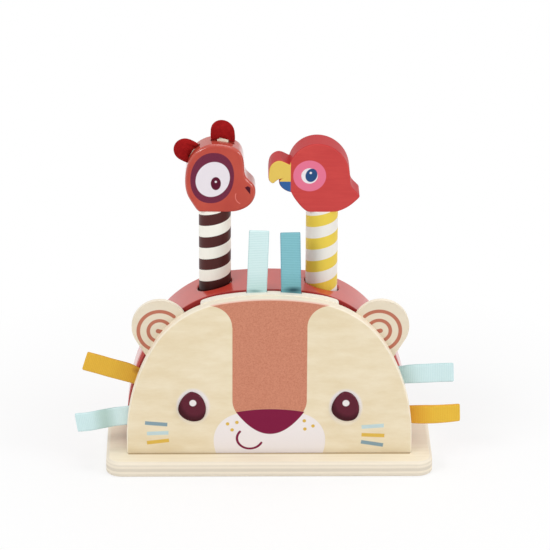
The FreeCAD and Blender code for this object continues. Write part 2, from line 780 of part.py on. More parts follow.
def spring(side):
    wire_radius = SPRING_WIRE_DIAMETER / 2
    bottom = DECK + SEAT_THICKNESS + SPRING_END_GAP + wire_radius
    top = PLUNGER_TOP - PLUNGER_WALL - SPRING_END_GAP - wire_radius
    length = top - bottom
    helix = Part.makeHelix(length / SPRING_TURNS, length, SPRING_MEAN_RADIUS)
    start = Vector(SPRING_MEAN_RADIUS, 0, 0)
    section = Part.Wire([Part.makeCircle(wire_radius, start, Vector(0, 1, 0))])
    coil = Part.Wire(helix.Edges).makePipeShell([section], True, True)
    coil = Part.Solid(coil) if not coil.Solids else coil.Solids[0]
    coil.translate(Vector(well_x(side), WELL_Y, bottom))
    return coil


def peg(side):
    x = well_x(side)
    body = cylinder(PEG_DIAMETER / 2, x, WELL_Y, PLUNGER_TOP, HEAD_BOTTOM)
    body = body.makeFillet(PEG_BOTTOM_ROUND, edges_at(body, "z", PLUNGER_TOP))
    body = body.makeFillet(PEG_TOP_ROUND, edges_at(body, "z", HEAD_BOTTOM))
    return solid_of(body.cut(dowel_socket(side)))


def dowel_socket(side):
    half = DOWEL_LENGTH / 2 + DOWEL_END_GAP
    radius = DOWEL_DIAMETER / 2 + FIT
    return cylinder(radius, well_x(side), WELL_Y, HEAD_BOTTOM - half, HEAD_BOTTOM + half)


def dowel(side):
    low = HEAD_BOTTOM - DOWEL_LENGTH / 2
    high = HEAD_BOTTOM + DOWEL_LENGTH / 2
    pin = cylinder(DOWEL_DIAMETER / 2, well_x(side), WELL_Y, low, high)
    ends = edges_at(pin, "z", low) + edges_at(pin, "z", high)
    return solid_of(pin.makeFillet(DOWEL_END_ROUND, ends))


def animal_head(side, loops, edge_round):
    half = HEAD_THICKNESS / 2
    boards = []
    for points in loops:
        piece = loop_board(points, -half, half)
        rims = edges_at(piece, "y", -half) + edges_at(piece, "y", half)
        boards.append(piece.makeFillet(edge_round, rims))
    head = boards[0]
    if len(boards) > 1:
        head = head.fuse(boards[1:])
    below = box(
        -WELL_SPACING, WELL_SPACING, -half - HOLE_PASS, half + HOLE_PASS, -HEAD_THICKNESS, 0
    )
    head = head.cut(below)
    head.translate(Vector(well_x(side), WELL_Y, HEAD_BOTTOM))
    return head.cut(dowel_socket(side))


def cloth_ear_block(key, growth):
    """One ear with its tuck, grown by a clearance for the slot that it sits in."""
    x, z, turn = CLOTH_EARS[key]
    half_width = CLOTH_EAR_WIDTH / 2 + growth
    half_thickness = CLOTH_EAR_THICKNESS / 2 + growth
    straight = CLOTH_EAR_HEIGHT - CLOTH_EAR_WIDTH / 2
    foot = -CLOTH_EAR_TUCK - growth
    low_foot = Vector(foot, -half_thickness, -half_width)
    low_start = Vector(straight, -half_thickness, -half_width)
    tip = Vector(straight + half_width, -half_thickness, 0)
    high_start = Vector(straight, -half_thickness, half_width)
    high_foot = Vector(foot, -half_thickness, half_width)
    edges = [
        Part.LineSegment(low_foot, low_start),
        Part.Arc(low_start, tip, high_start),
        Part.LineSegment(high_start, high_foot),
        Part.LineSegment(high_foot, low_foot),
    ]
    flap = Part.Face(Part.Wire([edge.toShape() for edge in edges]))
    flap = flap.extrude(Vector(0, 2 * half_thickness, 0))
    if growth == 0:
        rims = [edge for edge in flap.Edges if not is_level(edge, "x", foot)]
        rims = [edge for edge in rims if abs(edge.Vertexes[0].Y - edge.Vertexes[-1].Y) < 1e-6]
        flap = flap.makeFillet(CLOTH_EAR_ROUND, rims)
    flap.Placement = FreeCAD.Placement(
        Vector(well_x(-1) + x, WELL_Y, HEAD_BOTTOM + z), FreeCAD.Rotation(Vector(0, 1, 0), -turn)
    )
    return flap


def lemur_head():
    head = animal_head(-1, LEMUR_LOOPS, LEMUR_EDGE_ROUND)
    for key in CLOTH_EARS:
        head = head.cut(cloth_ear_block(key, FIT))
    return solid_of(head)


def parrot_head():
    return solid_of(animal_head(1, PARROT_LOOPS, PARROT_EDGE_ROUND))


def make_nodes():
    nodes = {
        "base_plate": base_plate(),
        "front_panel": front_panel(),
        "spacer_plate": spacer_plate(),
        "housing": housing(),
        "base_screws": base_screws(),
        "panel_screws": panel_screws(),
        "ribbon_staples": ribbon_staples(),
        "lemur_peg": peg(-1),
        "lemur_dowel": dowel(-1),
        "lemur_head": lemur_head(),
        "lemur_front_ear": solid_of(cloth_ear_block("front", 0)),
        "lemur_rear_ear": solid_of(cloth_ear_block("rear", 0)),
        "parrot_peg": peg(1),
        "parrot_dowel": dowel(1),
        "parrot_head": parrot_head(),
    }
    for name, side in SIDES.items():
        nodes[f"{name}_ear"] = lion_ear(side)
        nodes[f"{name}_eye"] = lion_eye(side)
        nodes[f"{name}_guide_tube"] = guide_tube(side)
        nodes[f"{name}_spring_seat"] = spring_seat(side)
        nodes[f"{name}_spring"] = spring(side)
        nodes[f"{name}_plunger"] = plunger(side)
    for name, x, height, turn, free, tail in ribbon_places():
        nodes[name] = ribbon(x, height, turn, free, tail)
    return nodes


def main():
    os.makedirs("parts", exist_ok=True)
    for name, shape in make_nodes().items():
        shape.exportStep(f"parts/{name}.step")
        box_size = shape.BoundBox
        print(
            f"{name}: {len(shape.Solids)} solid, valid {shape.isValid()}, volume {shape.Volume:.1f},"
            f" x {box_size.XMin:.1f}..{box_size.XMax:.1f} y {box_size.YMin:.1f}..{box_size.YMax:.1f}"
            f" z {box_size.ZMin:.1f}..{box_size.ZMax:.1f}"
        )


main()
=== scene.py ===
import math
from functools import partial, reduce

import bmesh
import bpy
from mathutils import Color, Matrix, Vector


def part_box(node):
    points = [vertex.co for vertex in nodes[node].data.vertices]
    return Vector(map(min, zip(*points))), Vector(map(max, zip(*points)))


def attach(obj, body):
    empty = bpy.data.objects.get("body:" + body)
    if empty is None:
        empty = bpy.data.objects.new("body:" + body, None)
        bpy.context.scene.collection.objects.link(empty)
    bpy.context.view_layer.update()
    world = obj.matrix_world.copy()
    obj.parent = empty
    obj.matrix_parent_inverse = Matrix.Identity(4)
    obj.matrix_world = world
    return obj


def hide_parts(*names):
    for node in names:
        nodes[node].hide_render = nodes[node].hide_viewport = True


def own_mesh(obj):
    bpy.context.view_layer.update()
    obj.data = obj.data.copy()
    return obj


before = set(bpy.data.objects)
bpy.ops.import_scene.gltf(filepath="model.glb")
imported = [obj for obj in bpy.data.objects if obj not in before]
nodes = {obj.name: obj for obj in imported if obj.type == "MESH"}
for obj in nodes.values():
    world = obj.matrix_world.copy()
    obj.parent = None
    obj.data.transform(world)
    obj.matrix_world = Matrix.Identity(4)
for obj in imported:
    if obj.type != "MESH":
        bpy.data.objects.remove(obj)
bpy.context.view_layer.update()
mm = 0.001
print("frame loaded,", len(nodes), "nodes")


def edge(node, end, axis):
    # one side of a node's box in millimetres, end 0 is the low side and 1 the high side
    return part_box(node)[end][axis] / mm


def middle(node):
    low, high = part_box(node)
    return (Vector(low) + Vector(high)) / 2 / mm


def clamped(value):
    return min(max(value, 0.0), 1.0)


def directions(degrees):
    # the way out at an angle from +X towards +Z, and the way that lies a quarter turn on from it
    turn = math.radians(degrees)
    outward = Vector((math.cos(turn), 0, math.sin(turn)))
    return outward, Vector((-outward.z, 0, outward.x))


deck = edge("base_plate", 1, 2)
panelFront = edge("front_panel", 0, 1)
headBottom = edge("lemur_head", 0, 2)
headFront = edge("lemur_head", 0, 1)
headBack = edge("lemur_head", 1, 1)


def sRgb(*parts):
    # a colour as a screen shows it, 0 to 255, turned into the linear values that shaders take
    shown = Color([part / 255 for part in parts])
    return (*shown.from_srgb_to_scene_linear(), 1.0)


class Wire:
    # An output socket. Sums on it add Math nodes to the tree that it belongs to.
    def __init__(self, tree, socket):
        self.tree = tree
        self.socket = socket

    def __neg__(self):
        return self.tree.maths("MULTIPLY", self, -1)

    def __abs__(self):
        return self.tree.maths("ABSOLUTE", self)


def overload(name, operation):
    # gives wires an operator, also for a number on its left
    def direct(self, other):
        return self.tree.maths(operation, self, other)

    def reflected(self, other):
        return self.tree.maths(operation, other, self)

    setattr(Wire, "__" + name + "__", direct)
    setattr(Wire, "__r" + name + "__", reflected)


overload("add", "ADD")
overload("sub", "SUBTRACT")
overload("mul", "MULTIPLY")
overload("truediv", "DIVIDE")
overload("pow", "POWER")


def turned(dx, dz, angle):
    sine, cosine = math.sin(angle), math.cos(angle)
    return dx * cosine - dz * sine, dx * sine + dz * cosine


class NodeTree:
    # A tree of shader nodes in the making
    def __init__(self, tree):
        self.tree = tree
        tree.nodes.clear()

    def node(self, kind, settings=None, sockets=None, out=0):
        made = self.tree.nodes.new(kind)
        for key, value in (settings or {}).items():
            setattr(made, key, value)
        for key, value in (sockets or {}).items():
            if isinstance(value, Wire):
                self.tree.links.new(value.socket, made.inputs[key])
            else:
                made.inputs[key].default_value = value
        return Wire(self, made.outputs[out]) if made.outputs else None

    def maths(self, operation, *values, clamp=False):
        settings = {"operation": operation, "use_clamp": clamp}
        return self.node("ShaderNodeMath", settings, dict(enumerate(values)))

    def least(self, *values):
        return reduce(partial(self.maths, "MINIMUM"), values)

    def most(self, *values):
        return reduce(partial(self.maths, "MAXIMUM"), values)


class Paint(NodeTree):
    # A material in the making. x, y and z are the place on the object at rest, in millimetres.
    def __init__(self, name):
        self.material = bpy.data.materials.new(name)
        self.material.use_nodes = True
        super().__init__(self.material.node_tree)
        spot = self.node("ShaderNodeTexCoord", out="Object")
        self.place = self.vector("SCALE", {0: spot, "Scale": 1 / mm})
        self.x, self.y, self.z = (self.split(self.place, axis) for axis in range(3))

    def vector(self, operation, sockets):
        return self.node("ShaderNodeVectorMath", {"operation": operation}, sockets)

    def split(self, vector, axis):
        return self.node("ShaderNodeSeparateXYZ", None, {0: vector}, axis)

    def noise(self, waves, detail=2.0, rough=0.5):
        # waves counts per millimetre, with one number for each axis or one for all three
        scale = waves if isinstance(waves, tuple) else (waves,) * 3
        vector = self.vector("MULTIPLY", {0: self.place, 1: scale})
        sockets = {"Vector": vector, "Scale": 1.0, "Detail": detail, "Roughness": rough}
        return self.node("ShaderNodeTexNoise", None, sockets)

    def mix(self, factor, first, second):
        sockets = {0: factor, 6: first, 7: second}
        return self.node("ShaderNodeMix", {"data_type": "RGBA"}, sockets, 2)

    def contrast(self, value, gain, shift):
        return self.maths("MULTIPLY_ADD", value, gain, shift, clamp=True)

    def inside(self, gap, soft=0.15):
        # 1 where the gap to an outline is negative, 0 where it is positive, soft between
        return self.contrast(gap, -0.5 / soft, 0.5)

    def prints(self, across, up, shapes, cover=1):
        # layers from outlines that are listed as a kind, its measures and a colour
        layers = []
        for kind, measures, tint in shapes:
            gap = getattr(self, kind + "Gap")(across, up, **measures)
            layers.append((gap, tint, cover))
        return layers

    def layered(self, colour, layers):
        # prints layers one over the other, each a gap, a colour and how strongly it covers
        for gap, tint, cover in layers:
            colour = self.mix(self.inside(gap) * cover, colour, tint)
        return colour

    def finish(self, colour, roughness, relief, shine=0.5, coat=(0.0, 0.03), extras=None):
        # relief is a height and the depth of its full step in millimetres
        # coat is its weight and roughness
        bump = {"Height": relief[0], "Strength": 1.0, "Distance": relief[1] * mm}
        sockets = {
            "Base Color": colour,
            "Roughness": roughness,
            "Normal": self.node("ShaderNodeBump", None, bump),
            "Specular IOR Level": shine,
            "Coat Weight": coat[0],
            "Coat Roughness": coat[1],
            **(extras or {}),
        }
        surface = self.node("ShaderNodeBsdfPrincipled", None, sockets)
        self.node("ShaderNodeOutputMaterial", None, {"Surface": surface})
        return self.material

    def reach(self, across, up):
        return self.maths("SQRT", across * across + up * up)

    # Gaps to printed outlines in the plane of x across and z up, negative inside

    def discGap(self, across, up, centre, radius):
        return self.reach(across - centre[0], up - centre[1]) - radius

    def ovalGap(self, across, up, centre, semi, lean=0.0, shear=0.0, square=2.0):
        # lean is in degrees, and a square of more than 2 fills the oval's corners out
        dx, dz = across - centre[0], up - centre[1]
        if shear:
            dx = dx - dz * shear
        if lean:
            dx, dz = turned(dx, dz, math.radians(lean))
        if square == 2.0:
            return (self.reach(dx / semi[0], dz / semi[1]) - 1) * min(semi)
        powers = abs(dx / semi[0]) ** square + abs(dz / semi[1]) ** square
        return (powers ** (1 / square) - 1) * min(semi)

    def barGap(self, across, up, start, end, halfWidth):
        dx, dz = across - (start[0] + end[0]) / 2, up - (start[1] + end[1]) / 2
        angle = math.atan2(end[1] - start[1], end[0] - start[0])
        onward, sideways = turned(dx, dz, -angle)
        return self.most(abs(onward) - math.dist(start, end) / 2, abs(sideways) - halfWidth)

    def arcGap(self, across, up, centre, semi, sweep, halfWidth):
        # stroke along an oval from one angle to the other, degrees, anticlockwise
        ring = abs(self.ovalGap(across, up, centre, semi)) - halfWidth
        sides = []
        ends = []
        for turn, sign in zip(sweep, (-1, 1)):
            angle = math.radians(turn)
            sides.append(turned(across - centre[0], up - centre[1], -angle)[1] * sign)
            endX = centre[0] + semi[0] * math.cos(angle)
            endZ = centre[1] + semi[1] * math.sin(angle)
            ends.append(self.discGap(across, up, (endX, endZ), halfWidth))
        sector = self.least(*sides) if sweep[1] - sweep[0] > 180 else self.most(*sides)
        return self.least(self.most(ring, sector), *ends)


def dress(material, *names):
    for name in names:
        nodes[name].material_slots[0].material = material


def joined(name):
    return name.title().replace("_", "")


# Boards

board = {
    "cream": sRgb(232, 215, 180),
    "paler": sRgb(241, 228, 200),
    "rim": sRgb(243, 234, 216),
    "roughness": 0.55,
    "shine": 0.18,  # specular level, low because the boards are only washed
}


def creamGrain(paint):
    # faint level grain under soft warm blotches, as on a washed board
    streaks = paint.noise((0.012, 0.4, 0.55), 4, 0.6)
    blotches = paint.noise((0.035, 0.06, 0.11), 4, 0.62)
    amount = paint.contrast(streaks * 0.06 + blotches * 0.94, 3.0, -1.05)
    return paint.mix(amount, board["cream"], board["paler"]), streaks


def boardRoughness(streaks):
    return board["roughness"] + (streaks - 0.5) * 0.16


ply = {
    "face": sRgb(246, 236, 214),
    "faceDark": sRgb(236, 223, 198),
    "pale": sRgb(242, 232, 214),
    "dark": sRgb(222, 212, 195),
    # the veneers that show their end grain: height, half thickness and how dark they are
    "veneers": (
        (0.2, 0.5, 0.7),
        (2.1, 0.9, 0.65),
        (5.9, 1.2, 1.0),
        (7.3, 0.3, 0.5),
        (9.6, 0.55, 0.5),
        (11.7, 0.2, 0.4),
    ),
    "wander": 0.5,  # how far the layers rise and fall
    # painted shade on the deck beside the housing: its colour, how far it reaches, where it starts
    # behind the housing's front and how softly it fades
    "deckShade": sRgb(229, 229, 208),  # beside the housing, from a little behind its front
    "deckShadeReach": 14.0,
    "deckShadeFront": 8.0,
    "deckShadeSoft": 10.0,
    # painted contact shadow: the dim line that the panel throws on the deck
    "contactShadowLine": sRgb(168, 138, 88),  # the dim line that the panel throws on the deck
    "footHalf": 106.5,
    "footReach": 1.6,
}


def plyBase():
    paint = Paint("birchPlyBase")
    grain = paint.noise((0.02, 0.9, 0.9), 5, 0.62)
    pores = paint.noise((0.25, 5.0, 5.0), 2, 0.7)
    speckle = paint.noise((2.2, 2.2, 0.5), 3, 0.7)
    face = paint.mix(paint.contrast(grain, 2.4, -0.8), ply["face"], ply["faceDark"])
    # painted shade on the deck beside the housing, from a little behind its front
    beside = abs(abs(paint.x) - edge("housing", 1, 0)) - ply["deckShadeReach"]
    behind = edge("housing", 0, 1) + ply["deckShadeFront"] - paint.y
    deckShadeMask = paint.inside(beside, ply["deckShadeSoft"]) * paint.inside(behind, ply["deckShadeSoft"])
    face = paint.mix(deckShadeMask, face, ply["deckShade"])
    # on the edges every other veneer shows its end grain
    level = paint.z + paint.noise((0.03, 0.03, 0.0), 2) * ply["wander"]
    endGrain = 0.0
    for height, half, depth in ply["veneers"]:
        endGrain = paint.most(endGrain, paint.inside(abs(level - height) - half, 0.3) * depth)
    tone = paint.contrast(speckle, 1.6, -0.3)
    paleLayer = paint.mix(tone * 0.3, ply["pale"], ply["faceDark"])
    onEdge = paint.inside(paint.z - (deck - 0.12), 0.1)
    colour = paint.mix(onEdge, face, paint.mix(endGrain, paleLayer, ply["dark"]))
    # painted contact shadow on the deck just in front of the panel's foot
    half = ply["footReach"] / 2
    line = paint.most(abs(paint.y - (panelFront - half)) - half, abs(paint.x) - ply["footHalf"])
    contactShadow = paint.inside(line, 0.3) * (1 - onEdge)
    colour = paint.mix(contactShadow * 0.75, colour, ply["contactShadowLine"])
    height = grain * 0.6 + pores * 0.4 + endGrain * onEdge * 0.8
    roughness = 0.5 + pores * 0.15 + endGrain * onEdge * 0.12
    dress(paint.finish(colour, roughness, (height, 0.09), board["shine"]), "base_plate")


# Lion's face, printed on the front panel. x from the middle, z above the deck.

slateBlue = sRgb(122, 155, 170)
paleBlue = sRgb(190, 215, 220)
honey = sRgb(222, 181, 66)
lion = {
    "shift": 0.5,  # the print stands this far to the right of the panel's middle
    "terracotta": sRgb(211, 143, 116),
    "terracottaDark": sRgb(184, 108, 82),
    "blush": sRgb(231, 194, 178),
    "bridgeX": (-28.4, 27.6),  # side edges of the bridge
    "bridgeKnee": 44.0,  # below this the sides draw in to the nose
    "bridgeDraw": 0.0295,
    "cheekX": {-1: 46.0, 1: 45.0},  # rounded top corner of each cheek
    "cheekTop": 104.0,
    "cheekRadius": 17.4,
    "nose": sRgb(126, 14, 60),
    "noseTop": (0.4, -102.4, 139.2),  # centre and radius of the arc along its top
    "noseFoot": 16.1,
    "noseCurl": 0.0276,
    "noseHalfWidth": 26.2,
    "noseSlope": 0.6,
    "muzzle": sRgb(240, 233, 232),
    "muzzleCentres": ((-20.2, 11.2), (19.4, 11.2)),
    "muzzleRadius": 22.3,
    "muzzleDrop": 0.8,
    "fieldX": -0.3,  # middle, half width and top of the field between the muzzle's discs
    "fieldHalf": 20.0,
    "fieldTop": 34.0,
    "dot": sRgb(220, 182, 80),
    "dots": (
        (-32.0, 24.6),
        (-25.0, 25.8),
        (-28.6, 19.6),
        (25.8, 27.0),
        (32.4, 22.7),
        (26.3, 20.2),
    ),
    "dotRadius": 1.35,
    "smile": {
        "centre": (-15.27, 12.58),
        "semi": (9.65, 8.59),
        "sweep": (140.0, 334.5),
        "halfWidth": 0.84,
    },
    "halo": sRgb(237, 230, 228),
    "haloFoot": sRgb(240, 227, 203),
    "haloCentres": ((-57.9, 38.7), (57.0, 38.0)),
    "haloSemi": (12.4, 14.8),
    "haloFade": (-4.0, 9.0),  # height above its centre where it fades to its foot, and how softly
    "whiskerHalf": 1.5,
    "whiskers": (
        ((-94.2, 25.5), (-77.4, 24.1), slateBlue),
        ((-92.8, 16.7), (-76.6, 17.3), paleBlue),
        ((-92.9, 9.0), (-76.2, 11.0), honey),
        ((69.1, 21.7), (85.8, 23.0), paleBlue),
        ((69.1, 15.3), (86.4, 14.6), honey),
        ((68.8, 9.4), (85.5, 6.7), slateBlue),
    ),
    "faceDepth": 0.16,  # how far the print reaches over the rounded rim
    "crownFade": 1.0,
    # painted shade at the panel's foot: a contact shadow line, a fainter shade higher up, and their
    # colour
    "contactShadowLine": 0.3,
    "lowShadeReach": 2.5,
    "footShade": sRgb(140, 108, 66),
}


def lionPanel():
    paint = Paint("printedLionPanel")
    x, up = paint.x - lion["shift"], paint.z - deck
    cream, streaks = creamGrain(paint)

    # terracotta bridge from the crown down to the nose, between the two cheeks
    below = paint.most(lion["bridgeKnee"] - up, 0)
    draw = below * below * lion["bridgeDraw"]
    sides = paint.most(lion["bridgeX"][0] - x, x - lion["bridgeX"][1]) + draw
    aboveCheeks = lion["cheekTop"] - up
    for side, cheekX in lion["cheekX"].items():
        corner = paint.discGap(x, up, (side * cheekX, lion["cheekTop"]), lion["cheekRadius"])
        aboveCheeks = paint.most(aboveCheeks, -corner, x * side - cheekX)
    topX, topZ, topRadius = lion["noseTop"]
    noseTop = paint.discGap(x, up, (topX, topZ), topRadius)
    bridge = paint.most(paint.least(sides, aboveCheeks), -noseTop)
    speckle = paint.noise(0.85, 4, 0.8)
    tone = paint.contrast(speckle, 4.0, -1.5)
    terracotta = paint.mix(tone * 0.6, lion["terracotta"], lion["terracottaDark"])

    # pale muzzle under the nose, two discs and the field between them
    muzzle = paint.most(abs(x - lion["fieldX"]) - lion["fieldHalf"], up - lion["fieldTop"])
    for centre in lion["muzzleCentres"]:
        drop = paint.least(up - centre[1], 0) * (lion["muzzleDrop"] - 1)
        muzzle = paint.least(muzzle, paint.discGap(x, up + drop, centre, lion["muzzleRadius"]))
    muzzle = paint.most(muzzle, noseTop)

    noseFoot = (x * x * lion["noseCurl"] + lion["noseFoot"] - up) * lion["noseSlope"]
    nose = paint.most(noseTop, noseFoot, abs(x) - lion["noseHalfWidth"])
    ink = paint.least(nose, paint.arcGap(x, up, **lion["smile"]))
    layers = [(bridge, terracotta, 1), (muzzle, lion["muzzle"], 1), (ink, lion["nose"], 1)]
    for centre in lion["dots"]:
        layers.append((paint.discGap(x, up, centre, lion["dotRadius"]), lion["dot"], 1))
    worn = 0.86 + speckle * 0.14
    for start, end, tint in lion["whiskers"]:
        layers.append((paint.barGap(x, up, start, end, lion["whiskerHalf"]), tint, worn))
    colour = paint.layered(cream, layers)
    for centre in lion["haloCentres"]:
        rise, soft = lion["haloFade"]
        halo = paint.mix(paint.inside(up - centre[1] - rise, soft), lion["halo"], lion["haloFoot"])
        gap = paint.ovalGap(x, up, centre, lion["haloSemi"])
        colour = paint.mix(paint.inside(gap, 0.9), colour, halo)

    # the print pales over the rounded crown, and the sawn rim is bare
    rim = paint.mix(streaks * 0.5, board["rim"], board["paler"])
    fade = paint.inside(paint.y - (panelFront + lion["crownFade"]), 0.6)
    blushed = paint.mix(fade * paint.inside(bridge), rim, lion["blush"])
    front = paint.inside(paint.y - (panelFront + lion["faceDepth"]), 0.12)
    colour = paint.mix(front, blushed, colour)
    # painted contact shadow along the lowest edge, and a faint, warm painted shade over the lowest
    # few millimetres
    contactShadow = paint.inside(up - lion["contactShadowLine"], lion["contactShadowLine"])
    lowShade = paint.inside(up - lion["lowShadeReach"], lion["lowShadeReach"])
    colour = paint.mix(contactShadow * 0.8 + lowShade * 0.09, colour, lion["footShade"])
    roughness = boardRoughness(streaks) - paint.inside(ink) * 0.08
    relief = (streaks * 0.5 + speckle * 0.25, 0.05)
    dress(paint.finish(colour, roughness, relief, board["shine"]), "front_panel")


spiral = {
    "ink": sRgb(187, 107, 83),
    "centre": {"left_ear": (-82.2, 97.5), "right_ear": (81.8, 97.5)},
    # radius, half stroke and sweep of each turn
    "turns": ((16.0, 1.38, (-75.0, 132.0)), (8.55, 1.35, (-200.0, 148.0))),
    "dotCentre": (1.2, 0.1),
    "dotRadius": 1.75,
    "tail": (-4.2, -1.3),
    "tailHalf": 1.7,
    "wash": sRgb(226, 217, 203),
    "faceDepth": 0.3,
}


def spiralEar(name, side):
    paint = Paint("printed" + joined(name))
    centreX, centreZ = spiral["centre"][name]
    across = (paint.x - centreX) * side
    up = paint.z - deck - centreZ
    cream, streaks = creamGrain(paint)
    cream = paint.mix(0.5, cream, spiral["wash"])
    start = spiral["dotCentre"]
    strokes = [
        paint.discGap(across, up, start, spiral["dotRadius"]),
        paint.barGap(across, up, start, spiral["tail"], spiral["tailHalf"]),
    ]
    for radius, half, sweep in spiral["turns"]:
        strokes.append(paint.arcGap(across, up, (0, 0), (radius, radius), sweep, half))
    worn = 0.9 + paint.noise(3.0, 3, 0.75) * 0.1
    printed = paint.layered(cream, [(paint.least(*strokes), spiral["ink"], worn)])
    front = paint.inside(paint.y - (edge(name, 0, 1) + spiral["faceDepth"]), 0.1)
    colour = paint.mix(front, board["rim"], printed)
    roughness = boardRoughness(streaks)
    dress(paint.finish(colour, roughness, (streaks, 0.05), board["shine"]), name)


eyes = {
    "maroon": sRgb(92, 26, 44),
    # dark is the painted shade in a crescent on the lower left of the domed eye
    "dark": sRgb(62, 4, 20),
    "spark": sRgb(236, 231, 230),
    "sparkRadius": 2.6,
    "places": {"left_eye": (-57.6, 42.6), "right_eye": (57.5, 42.3)},
    "litSemi": (10.6, 12.4),
    "shade": (2.2, 4.6),  # the dark crescent lies this far to the left and down
}


def lionEye(name):
    paint = Paint("glossy" + joined(name))
    up = paint.z - deck
    centre = middle(name)
    # painted shade: a dark crescent on the lower left, outside a lit oval shifted up and to the
    # right
    shadeX, shadeZ = eyes["shade"]
    centre = (centre.x + shadeX, centre.z - deck + shadeZ)
    lit = paint.ovalGap(paint.x, up, centre, eyes["litSemi"])
    grain = paint.noise(1.5, 3, 0.6)
    colour = paint.mix(paint.inside(lit, 1.6), eyes["dark"], eyes["maroon"])
    spark = paint.discGap(paint.x, up, eyes["places"][name], eyes["sparkRadius"])
    colour = paint.mix(paint.inside(spark, 0.25), colour, eyes["spark"])
    dress(paint.finish(colour, 0.3 + grain * 0.08, (grain, 0.01), 0.12, (0.12, 0.12)), name)


# Moulded housing and what works inside it

shell = {
    "red": sRgb(212, 72, 57),
    "redDeep": sRgb(197, 58, 47),
    "gapShade": sRgb(128, 10, 12),
    "roughness": 0.26,
    "ripple": 0.02,
    "gapShadeDepth": 2.4,  # the dull strip behind the panel that light hardly reaches
    "gapShadeSoft": 0.9,
    # painted shade on the front part of the upright sides: below this height, within this reach
    # behind the front, this softly
    "frontShadeBelow": 88.0,
    "frontShadeReach": 19.0,
    "frontShadeSoft": 6.0,
}


def redHousing():
    paint = Paint("redHousingGloss")
    clouds = paint.noise(0.03, 3)
    peel = paint.noise(0.7, 2, 0.4)
    scuffs = paint.noise((0.35, 2.5, 0.35), 4, 0.7)
    colour = paint.mix(paint.contrast(clouds, 1.8, -0.4), shell["redDeep"], shell["red"])
    worn = paint.contrast(scuffs, 3.0, -1.7)
    # painted shade on the strip just behind the panel, which is also duller
    deep = paint.y - edge("housing", 0, 1)
    gapShade = paint.inside(deep - shell["gapShadeDepth"], shell["gapShadeSoft"])
    colour = paint.mix(gapShade * 0.9, colour, shell["gapShade"])
    # the front part of the upright sides gets painted shade, and is duller than the rest
    frontSideShade = paint.inside(paint.z - deck - shell["frontShadeBelow"], shell["frontShadeSoft"])
    frontSideShade = frontSideShade * paint.inside(deep - shell["frontShadeReach"], shell["frontShadeSoft"])
    colour = paint.mix(frontSideShade * 0.4, colour, shell["gapShade"])
    dull = paint.most(gapShade, frontSideShade)
    roughness = shell["roughness"] + worn * 0.12 + clouds * 0.06 + dull * 0.42
    coat = ((1 - dull) * 0.88, 0.12)
    dress(paint.finish(colour, roughness, (peel, shell["ripple"]), 0.3, coat), "housing")


plain = {
    # The first noise of each gives its relief, and share is how much of its tone that noise gives.
    # Worn says which of the two noises changes its roughness, and from what by how much.
    "creamSpacerBoard": {
        "noises": (((0.04, 1.1, 0.9), 4, 0.65), ((0.6, 2.6, 2.6), 2)),
        "share": 0.7,
        "contrast": (2.6, -1.0),
        "colours": (sRgb(248, 244, 231), sRgb(241, 233, 217)),
        "worn": (1, 0.55, 0.1),
        "depth": 0.06,
        "shine": board["shine"],
        "pieces": ("spacer_plate",),
    },
    "satinInnerPlastic": {
        "noises": (((0.1, 0.1, 3.0), 2), (0.05, 3)),
        "share": 0.0,
        "colours": (sRgb(236, 234, 228), sRgb(220, 217, 208)),
        "worn": (0, 0.38, 0.12),
        "depth": 0.015,
        "pieces": [
            side + part
            for side in ("left", "right")
            for part in ("_guide_tube", "_spring_seat", "_plunger")
        ],
    },
    "drawnSteelWire": {
        "noises": (((0.4, 0.4, 6.0), 3, 0.6), (0.2, 2)),
        "share": 0.0,
        "colours": (sRgb(196, 197, 200), sRgb(150, 151, 156)),
        "worn": (0, 0.22, 0.2),
        "depth": 0.01,
        "extras": {"Metallic": 1.0},
        "pieces": ("base_screws", "panel_screws", "ribbon_staples"),
    },
    "beechDowel": {
        "noises": (((1.2, 1.2, 0.06), 4, 0.6), ((3.0, 3.0, 0.5), 2, 0.6)),
        "share": 0.7,
        "contrast": (2.4, -0.7),
        "colours": (sRgb(222, 188, 146), sRgb(190, 150, 106)),
        "worn": (1, 0.55, 0.15),
        "depth": 0.05,
        "pieces": ("lemur_dowel", "parrot_dowel"),
    },
}


def plainFinish(name, spec):
    paint = Paint(name)
    noises = [paint.noise(*noise) for noise in spec["noises"]]
    tone = noises[0] * spec["share"] + noises[1] * (1 - spec["share"])
    tone = paint.contrast(tone, *spec.get("contrast", (1.0, 0.0)))
    which, roughness, wear = spec["worn"]
    material = paint.finish(
        paint.mix(tone, *spec["colours"]),
        roughness + noises[which] * wear,
        (noises[0], spec["depth"]),
        spec.get("shine", 0.5),
        extras=spec.get("extras"),
    )
    dress(material, *spec["pieces"])
    return material


# Striped pegs. A band climbs to the right round the peg, seen from any side.

pegWood = {
    "fibre": sRgb(214, 200, 170),
    "wellShadeSoft": 5.0,
    "join": sRgb(150, 130, 110),  # a faint line down the back
    "joinX": 1.0,
    "joinHalf": 0.12,
}
pegs = {
    "lemur_peg": {
        "ground": sRgb(250, 249, 239),
        "band": sRgb(72, 26, 27),
        "bandSpeck": sRgb(120, 82, 70),
        "pitch": 17.85,
        "share": 0.49,  # of a turn that the band takes
        "phase": 155.9,  # height of a band's top edge on the left side
        # painted shade on the bands below this height, where the peg stands in its well
        "wellShade": (127.0, sRgb(32, 4, 3)),  # darker below this height, where it stands in its well
    },
    "parrot_peg": {
        "ground": sRgb(242, 240, 234),
        "band": sRgb(238, 211, 82),
        "bandSpeck": sRgb(226, 190, 60),
        "pitch": 18.3,
        "share": 0.5,
        "phase": 190.9,
        "lowest": 19.0,  # bare length at the foot
    },
}


